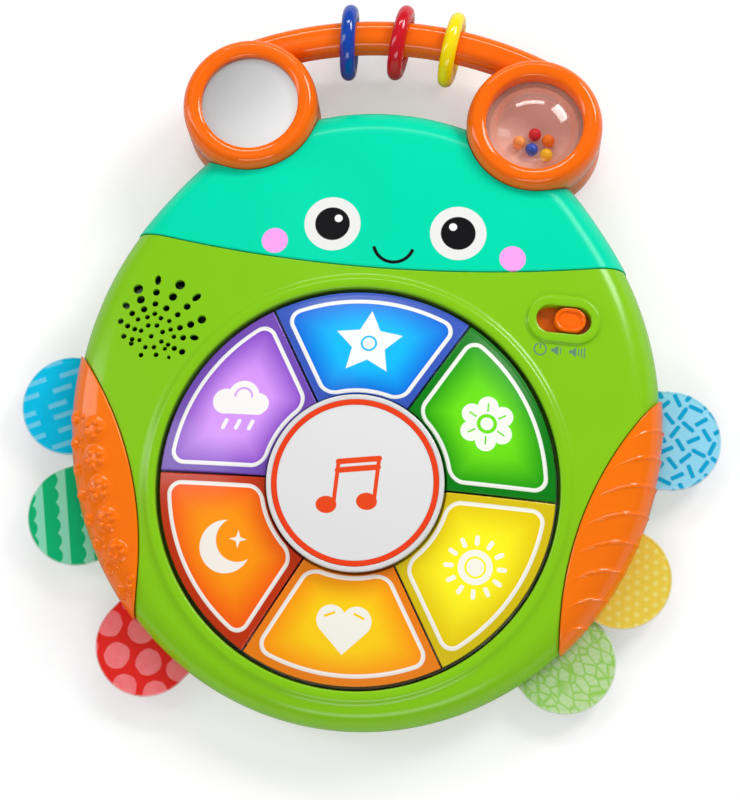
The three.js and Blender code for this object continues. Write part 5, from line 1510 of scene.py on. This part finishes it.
def make_centre_button():
    """White domed button with a plunger and a skirt, and the red-orange ring in its groove."""
    edge, top, underside, ceiling, groove = 15.9, 17.6, 12.0, 13.4, 1.2
    plunger_bottom, skirt_bottom, skirt_inner, skirt_outer = -6.9, 1.0, 19.3, 21.5
    crown = [(reach, top - (top - edge) * (reach / RING_INNER) ** 2)
             for reach in np.linspace(0, RING_INNER - 0.3, 20)]
    corners = [(BUTTON_RADIUS, underside), (BUTTON_RADIUS, edge), (RING_OUTER, edge),
               (RING_OUTER, edge - groove), (RING_INNER, edge - groove), (RING_INNER, edge + 0.05), crown[-1]]
    section = soften(corners, [0.3, 0.95, 0.5, 0, 0, 0.25, 0], 6)
    profile = [(0, plunger_bottom), (PLUNGER_RADIUS, plunger_bottom), (PLUNGER_RADIUS, ceiling),
               (skirt_inner, ceiling), (skirt_inner, skirt_bottom), (skirt_outer, skirt_bottom),
               (skirt_outer, underside)]
    profile += [tuple(p) for p in section] + crown[-2::-1]
    piece = mesh_object("centre_button_cap", moved(turned(profile, 160), WHEEL))
    white = plastic("white_gloss_plastic", rgb(232, 232, 232), 0.16, mottle=0.012, paint=note_print,
                    specular=0.55)
    dressed(piece, white, "centre_button", "centre_button")
    inner, outer = RING_INNER + 0.02, RING_OUTER - 0.02
    band_bottom, band_top = edge - groove + 0.1, edge + 0.1
    band_section = soften([(inner, band_bottom), (outer, band_bottom), (outer, band_top), (inner, band_top)],
                          [0, 0, 0.25, 0.25], 4, closed=True)
    band_piece = mesh_object("button_ring_band", moved(turned([tuple(p) for p in band_section], 160), WHEEL))
    red = plastic("ring_red_orange", rgb(241, 62, 10), 0.25)
    return dressed(band_piece, red, "centre_button", "button_ring")


def make_switch_knob():
    """Knob of the slide switch: a rounded button with a dished top, on its slide plate."""
    rows = slot_rows(SLIDE, (0, -5.6), (0, -4.3))
    rows += slot_rows(KNOB, (0, -4.3), (0, 1.1), (-0.08, 1.55), (-0.3, 1.88), (-0.65, 2.0), (-1.1, 1.96),
                      (-1.4, 1.75), (-1.6, 1.2), (-1.9, 0.95), (-3.4, 0.9))
    piece = mesh_object("switch_knob_cap", moved(closed_stack(rows), SWITCH @ shift(KNOB_OFFSET, 0)))
    return dressed(piece, orange, "switch_knob", "switch_knob")


# Handle, mirror, rattle and rings

# The bar's reach into the pods is a share of its turn
BAR_SPAN = 1.15
POD_INNER = POD_RADIUS - WALL
POD_CREST, POD_LIP = 25.2, 20.9
POD_FLOOR, POD_CEILING, POD_FOOT = 2.0, 4.5, 22.0
RING_POST_OUTER, RING_POST_INNER = 20.0, 17.6
POD_SEAM = ((0.25, 0), (0.06, 0.06), (0, 0.25))   # insets of the rounded seam, and distances from it


def bar(bottom, top, round_top):
    """Half of the curved bar between the pods."""
    half = BAR_WIDTH / 2
    if round_top:
        section = [(half, bottom), (half, top - BAR_CORNER)] + arc(
            (half - BAR_CORNER, top - BAR_CORNER), (BAR_CORNER, BAR_CORNER), 0, 90, 8)
    else:
        section = [(half, top), (half, bottom + BAR_CORNER)] + arc(
            (half - BAR_CORNER, bottom + BAR_CORNER), (BAR_CORNER, BAR_CORNER), 0, -90, 8)
    start, way = section[0][1], 1 if round_top else -1
    section[0:1] = [(half - 0.25, start), (half - 0.05, start + way * 0.06), (half, start + way * 0.25)]
    section += [(-x, z) for x, z in section[::-1]]
    rows = []
    for turn in np.linspace(-BAR_SPAN * BAR_TURN, BAR_SPAN * BAR_TURN, 97):
        rows.append([((BAR_ARC + across) * math.sin(turn), BAR_Y + (BAR_ARC + across) * math.cos(turn), z)
                     for across, z in section])
    return capped(rows)


def pod_front(side, lip_bottom):
    """Front half of a pod: its wall, its round crest and the lip that holds the mirror or the dome."""
    base = PARTING + FIT / 2
    section = [(POD_INNER, base)] + [(POD_RADIUS - inset, base + rise) for inset, rise in POD_SEAM]
    section += arc((POD_CREST, 32.5), (POD_RADIUS - POD_CREST, 7.5), 0, 90, 14)
    section += arc((POD_CREST, 38.2), (4.3, 1.8), 90, 180, 10)[1:]
    section += [(POD_LIP, lip_bottom), (POD_INNER, lip_bottom)]
    return turned(section, 160, (side * POD_X, POD_Y))


def pod_back(side, post_top):
    """Back half of a pod: a bowl with a round post that carries what lies in it."""
    top = PARTING - FIT / 2
    section = [(0, POD_FLOOR), (POD_FOOT, POD_FLOOR)]
    section += arc((POD_FOOT, 9.3), (POD_RADIUS - POD_FOOT, 7.3), -90, 0, 12)[1:]
    section += [(POD_RADIUS - inset, top - rise) for inset, rise in POD_SEAM[::-1]]
    section += [(POD_INNER, top), (POD_INNER, 9.5)]
    section += arc((21.0, 9.5), (POD_INNER - 21.0, 5.0), 0, -90, 6)[1:]
    section += [(RING_POST_OUTER, POD_CEILING), (RING_POST_OUTER, post_top), (RING_POST_INNER, post_top),
                (RING_POST_INNER, POD_CEILING), (0, POD_CEILING)]
    return turned(section, 160, (side * POD_X, POD_Y))


def make_handle():
    """The handle's two halves: the bar, hollowed where the pods are, the pods and the screw tabs."""
    hollow = POD_INNER + 0.4
    crown = mesh_object("handle_front_half", bar(PARTING + FIT / 2, PARTING + BAR_HEIGHT / 2, True))
    cut(crown, *pod_rods(hollow, 160))
    join(crown, pod_front(-1, 36.5), pod_front(1, 31.0))
    dressed(crown, orange, "casing", "handle_front", sharp=28)
    base = mesh_object("handle_back_half", bar(PARTING - BAR_HEIGHT / 2, PARTING - FIT / 2, False))
    cut(base, *pod_rods(hollow, 160))
    join(base, pod_back(-1, 32.2), pod_back(1, 18.5))
    for side, place in zip((-1, 1), HANDLE_SCREWS):
        tab = mesh_object("tab", handle_tab(side, 0, TAB_BOTTOM + TAB_THICKNESS))
        cut(tab, rod(SCREW_HOLE, -5, 60, place, 32))
        cut(tab, rod(hollow, -5, 60, (side * POD_X, POD_Y), 160))
        combine(base, tab, "UNION")
    cut(base, *[rod(SCREW_HEAD + FIT, -20, 9.0, place, 48) for place in POD_SCREWS])
    return dressed(base, orange, "casing", "handle_back", sharp=28)


BEAD_COLOURS = (rgb(214, 32, 48), rgb(48, 96, 214), rgb(255, 176, 92), rgb(255, 136, 24), rgb(250, 214, 40))


def make_bead(index, colour):
    """A ball with a narrow flat waist."""
    node = f"bead_{index}"
    radius = (high(node, 2) - low(node, 2)) / 2
    level = middle(node, 2)
    side = arc((0, level), (radius, radius), -90, -4, 10) + [(radius, level - 0.1), (radius, level + 0.1)]
    side += arc((0, level), (radius, radius), 4, 90, 10)
    side[0], side[-1] = (0.0, side[0][1]), (0.0, side[-1][1])
    bead = mesh_object(f"{node}_ball", turned(side, 40, (middle(node, 0), middle(node, 1))))
    dressed(bead, plastic(f"bead_plastic_{index}", colour, 0.2), "casing", node)


def make_rattle():
    """Clear dome over a pale cup, with loose beads."""
    flange_top, flange_bottom, flange, radius, wall, top = 30.7, 29.2, 22.2, 20.2, 1.2, 41.0
    outer = arc((0, flange_top), (radius, top - flange_top), 0, 90, 30)
    inner = arc((0, flange_top), (radius - wall, top - wall - flange_top), 90, 0, 30)
    section = [(radius - wall, flange_bottom), (flange, flange_bottom), (flange, flange_top)]
    section += outer[:-1] + [(0.0, top), (0.0, top - wall)] + inner[1:]
    place = (POD_X, POD_Y)
    shell = mesh_object("rattle_dome_shell", turned(section, 128, place))
    dressed(shell, clear_plastic("clear_dome_plastic", rgb(255, 250, 248)), "casing", "rattle_dome")
    cup_bottom, cup_flange_bottom, cup_top, cup_inner, steps = 18.8, 27.5, 28.9, 18.9, 5
    cup = [(0, cup_bottom), (radius, cup_bottom), (radius, cup_flange_bottom), (flange, cup_flange_bottom),
           (flange, cup_top), (cup_inner, cup_top)]
    for i in range(steps):
        reach, level = cup_inner - 0.5 * i, 27.4 - 1.3 * i
        cup += [(reach, level + 0.2), (reach - 0.1, level + 0.05), (reach - 0.4, level)]
    cup += [(16.4, 20.8), (16.0, 20.3)]
    floor = [(reach, 20.2 + (0.18 if i % 2 else 0.0)) for i, reach in enumerate(np.linspace(15.0, 3.0, 9))]
    piece = mesh_object("rattle_cup_shell", turned(cup + floor + [(0, 20.2)], 128, place))
    dressed(piece, plastic("rattle_cup_plastic", rgb(255, 222, 212), 0.2), "casing", "rattle_cup")
    for i, colour in enumerate(BEAD_COLOURS, 1):
        make_bead(i, colour)


def ring_tree():
    """A round ring of round wire."""
    tree, wires = node_tree("round_ring", Radius="Float", Wire="Float", Material="Material")
    start = wires["Geometry"]
    path = start.node("GeometryNodeCurvePrimitiveCircle", {}, {"Resolution": 120, "Radius": wires["Radius"]})
    section = start.node("GeometryNodeCurvePrimitiveCircle", {}, {"Resolution": 40, "Radius": wires["Wire"]})
    ring = start.node("GeometryNodeCurveToMesh", {}, {"Curve": path, "Profile Curve": section})
    end_tree(tree, ring, wires["Material"])
    return tree


RING_DIAMETER, RING_WIRE, RING_ARC, RING_LEVEL = 33.4, 6.5, BAR_ARC - 0.7, 19.6

# Each ring's share of the bar's turn, its own turn in degrees, and its colour
RINGS = {
    "ring_blue": (-0.375, 6.7, rgb(10, 66, 170)),
    "ring_red": (0.0, 7.4, rgb(206, 8, 34)),
    "ring_yellow": (0.377, 0.2, rgb(252, 226, 0)),
}


def make_rings():
    tree = ring_tree()
    for node, (share, yaw, colour) in RINGS.items():
        finish = plastic(f"{node}_plastic", colour, 0.12, specular=0.6)
        piece = grown(f"{node}_loop", tree, None, Radius=(RING_DIAMETER - RING_WIRE) / 2 * MM,
                      Wire=RING_WIRE / 2 * MM, Material=finish)
        turn = share * BAR_TURN
        centre = (RING_ARC * math.sin(turn) * MM, (BAR_Y + RING_ARC * math.cos(turn)) * MM, RING_LEVEL * MM)
        piece.data.transform(Matrix.Translation(centre) @ Matrix.Rotation(-turn - math.radians(yaw), 4, "Z")
                             @ Matrix.Rotation(math.pi / 2, 4, "Y"))
        dressed(piece, finish, node, node, sharp=60)


# Cloth tags

def make_tag(name):
    """A flat cloth tab with a round end, sewn of two layers, that sags a little past the casing."""
    turn, share, level = TAGS[name]
    turn = math.radians(turn)
    x, y = tag_centre(turn, share)
    top = TAG_TOP - level * (TAG_THICKNESS + 2 * FIT)
    along = np.concatenate([np.linspace(-TAG_HOLD, 0, 14)[:-1],
                            TAG_RADIUS * np.sin(np.linspace(0, math.pi / 2, 40))])
    across = np.sin(np.linspace(-math.pi / 2, math.pi / 2, 61))
    u = np.repeat(along[:, None], len(across), axis=1)
    half = np.where(u > 0, np.sqrt(np.maximum(TAG_RADIUS ** 2 - u ** 2, 0)), TAG_RADIUS)
    v = half * across[None]
    reach = np.hypot(np.maximum(u, 0), v)
    from_edge = np.minimum(TAG_RADIUS - reach, u + TAG_HOLD)
    puff = np.sqrt(np.clip(1 - (1 - np.clip(from_edge, 0, 0.7) / 0.7) ** 2, 0, 1))
    seam_line = np.exp(-(((TAG_RADIUS - reach - 1.6) / 0.5) ** 2))
    thick = TAG_THICKNESS / 2 * puff * (1 - 0.35 * seam_line)
    free = np.clip((u + 2.0) / TAG_RADIUS, 0, 1)
    phase = turn * 3.0
    sag = free ** 2 * (-1.3 + 0.55 * np.sin(v / 9.0 + phase) + 0.3 * np.sin(u / 5.0 + v / 7.0 + phase))
    level_line = top - TAG_THICKNESS / 2 + sag
    upper = np.stack([u, v, level_line + thick], axis=-1)
    lower = np.stack([u, v, level_line - thick], axis=-1)
    matrix = shift(x, y) @ flat_turn(turn)
    top_shape = moved(grid(upper), matrix)
    corners, faces = grid(lower)
    bottom_shape = moved((corners, [face[::-1] for face in faces]), matrix)
    piece = mesh_object(f"{name}_cloth", top_shape, bottom_shape)
    dressed(piece, cloth(f"{name}_weave", matrix, PRINTS[name]), "casing", name, sharp=70)


# Inner parts that keep their solids

def dress_nodes():
    """Finishes for the solids whose shapes are right as they are."""
    metal = steel("contact_steel")
    black = plastic("cone_paper", rgb(30, 30, 33), 0.7, peel=0.05)
    dark = plastic("switch_body_plastic", rgb(58, 58, 60), 0.5)
    white = plastic("baffle_plastic", rgb(232, 232, 230), 0.45)
    mat = plastic("rubber_mat", rgb(205, 205, 200), 0.7, peel=0.04)
    board = circuit("main_board_green", Matrix.Identity(4), 8.65)
    lamps = circuit("key_board_green", WHEEL, -11.95)
    finishes = {
        "contact_east_single": metal, "contact_east_pair": metal, "contact_west_pair": metal,
        "contact_west_single": metal, "speaker_frame": metal, "speaker_cone": black, "switch_body": dark,
        "light_baffle": white, "key_mat": mat, "main_board": board, "key_board": lamps,
        "mirror": silvered("mirror_film"), "mirror_backing": plastic("backing_card", rgb(225, 225, 222), 0.8),
    }
    for i in (1, 2, 3):
        way = 1 if i % 2 else -1
        finishes[f"battery_{i}"] = battery_wrap(f"cell_wrap_{i}", middle(f"battery_{i}", 1), way)
    for node, material in finishes.items():
        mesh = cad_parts[node].data
        mesh.materials.clear()
        mesh.materials.append(material)


# Studio

FOCAL_PIXELS, PICTURE_HEIGHT, SENSOR_WIDTH = 2355.78, 800, 36.0
LAMP_TARGET = (0, 0.05, 0)


def camera_matrix():
    """The photograph's view: a little from the south, turned with the toy lying slightly askew."""
    tilt, swing, roll = math.radians(12.6), math.radians(3.739), math.radians(5.24)
    target, distance = np.array([1.5, 39.23, 25.0]) * MM, 1.0
    back = np.array([math.tan(swing), -math.tan(tilt), 1.0])
    back /= np.linalg.norm(back)
    right = np.cross(-back, [-math.sin(roll), math.cos(roll), 0.0])
    right /= np.linalg.norm(right)
    up = np.cross(right, -back)
    matrix = Matrix.Identity(4)
    for i, axis in enumerate((right, up, back)):
        for j in range(3):
            matrix[j][i] = axis[j]
    for j in range(3):
        matrix[j][3] = target[j] + distance * back[j]
    return matrix


def make_camera():
    lens = bpy.data.cameras.new("camera")
    lens.sensor_width = SENSOR_WIDTH
    lens.lens = FOCAL_PIXELS / PICTURE_HEIGHT * SENSOR_WIDTH
    lens.clip_start, lens.clip_end = 0.01, 50.0
    viewer = bpy.data.objects.new("camera", lens)
    viewer.matrix_world = camera_matrix()
    bpy.context.scene.collection.objects.link(viewer)
    bpy.context.scene.camera = viewer


def seen_by(start, *kinds):
    """1 for rays of the given kinds and 0 for others."""
    outputs = {"camera": 0, "glossy": 3, "transmission": 6}
    rays = [start.node("ShaderNodeLightPath", {}, {}, output=outputs[kind]) for kind in kinds]
    seen = rays[0]
    for ray in rays[1:]:
        seen = seen.most(ray)
    return seen


def plane(name, corners, material):
    """A flat part of the studio."""
    mesh = bpy.data.meshes.new(name)
    mesh.from_pydata(corners, [], [(0, 1, 2, 3)])
    made = bpy.data.objects.new(name, mesh)
    bpy.context.scene.collection.objects.link(made)
    mesh.materials.append(material)


def studio_material(name, shader):
    """A material whose one shader is made by a function of its tree."""
    material = bpy.data.materials.new(name)
    material.use_nodes = True
    tree = material.node_tree
    tree.nodes.remove(tree.nodes["Principled BSDF"])
    tree.links.new(shader(Wire(tree)).socket, tree.nodes["Material Output"].inputs[0])
    return material


def make_floor():
    """Pale floor that keeps the shadow near the toy and is white far from it."""
    size, white_from, fade = 6, 0.3, 0.4

    def shader(start):
        place = start.node("ShaderNodeTexCoord", {}, {}, output=3)
        x, y, _ = place.axes()
        seen = seen_by(start, "camera", "transmission")
        far = ((length(x, y) - white_from) / fade).clipped() * seen
        lit = start.node("ShaderNodeBsdfDiffuse", {}, {"Color": (0.63, 0.63, 0.63, 1.0)})
        shown = start.node("ShaderNodeEmission", {}, {"Strength": seen * 0.41})
        near = start.node("ShaderNodeAddShader", {}, {0: lit, 1: shown})
        white = start.node("ShaderNodeEmission", {}, {"Strength": 1.0})
        return start.node("ShaderNodeMixShader", {}, {0: far, 1: near, 2: white})

    corners = [(a * size, b * size, 0) for a, b in ((-1, -1), (1, -1), (1, 1), (-1, 1))]
    plane("floor", corners, studio_material("pale_floor", shader))


def make_card():
    """Pale card overhead, which the mirror shows: grey to the north-west and white to the south-east."""
    x, y, height, half = -0.1885, 0.506, 1.0, 0.075

    def shader(start):
        place = start.node("ShaderNodeTexCoord", {}, {}, output=3)
        across, along, _ = place.axes()
        share = ((across - x) * 7.0 - (along - y) * 5.0 + 0.5).clipped()
        return start.node("ShaderNodeEmission", {}, {
            "Color": share.between((0.5, 0.5, 0.5, 1.0), (1.0, 1.0, 1.0, 1.0)), "Strength": 1.0})

    corners = [(x + a * half, y + b * half, height) for a, b in ((-1, -1), (-1, 1), (1, 1), (1, -1))]
    plane("card", corners, studio_material("pale_card", shader))


def make_world():
    world = bpy.data.worlds.new("studio")
    bpy.context.scene.world = world
    world.use_nodes = True
    tree = world.node_tree
    back = tree.nodes["Background"]
    start = Wire(tree)
    strength = seen_by(start, "camera", "transmission") * 0.6 - seen_by(start, "glossy") * 0.22 + 0.4
    tree.links.new(strength.socket, back.inputs["Strength"])
    back.inputs["Color"].default_value = (1, 1, 1, 1)


def lamp(name, place, size, power):
    """A soft box that faces the toy."""
    light = bpy.data.lights.new(name, "AREA")
    light.shape, light.size, light.size_y, light.energy = "RECTANGLE", size[0], size[1], power
    box = bpy.data.objects.new(name, light)
    box.location = place
    heading = Matrix.Translation(LAMP_TARGET).translation - box.location
    box.rotation_euler = heading.to_track_quat("-Z", "Y").to_euler()
    bpy.context.scene.collection.objects.link(box)


def make_lights():
    lamp("key_box", (0.8, 0.95, 0.85), (0.55, 0.5), 10.6)
    lamp("west_box", (-1.1, 0.2, 0.64), (0.3, 1.3), 4.2)
    lamp("north_box", (-0.1, 1.0, 0.8), (0.7, 0.12), 3.4)
    lamp("south_box", (0.15, -1.05, 0.72), (1.0, 0.4), 4.6)


def build():
    make_camera()
    make_front_casing()
    make_face_panel()
    make_grip("grip_left", -1)
    make_grip("grip_right", 1)
    make_back_casing()
    make_battery_door()
    make_screws()
    for index, colour_name in enumerate(KEY_COLOURS):
        make_key(index, colour_name)
    make_centre_button()
    make_switch_knob()
    make_handle()
    make_rattle()
    make_rings()
    for name in TAGS:
        make_tag(name)
    dress_nodes()
    make_floor()
    make_card()
    make_world()
    make_lights()
    bpy.context.scene.view_settings.view_transform = "Standard"


build()
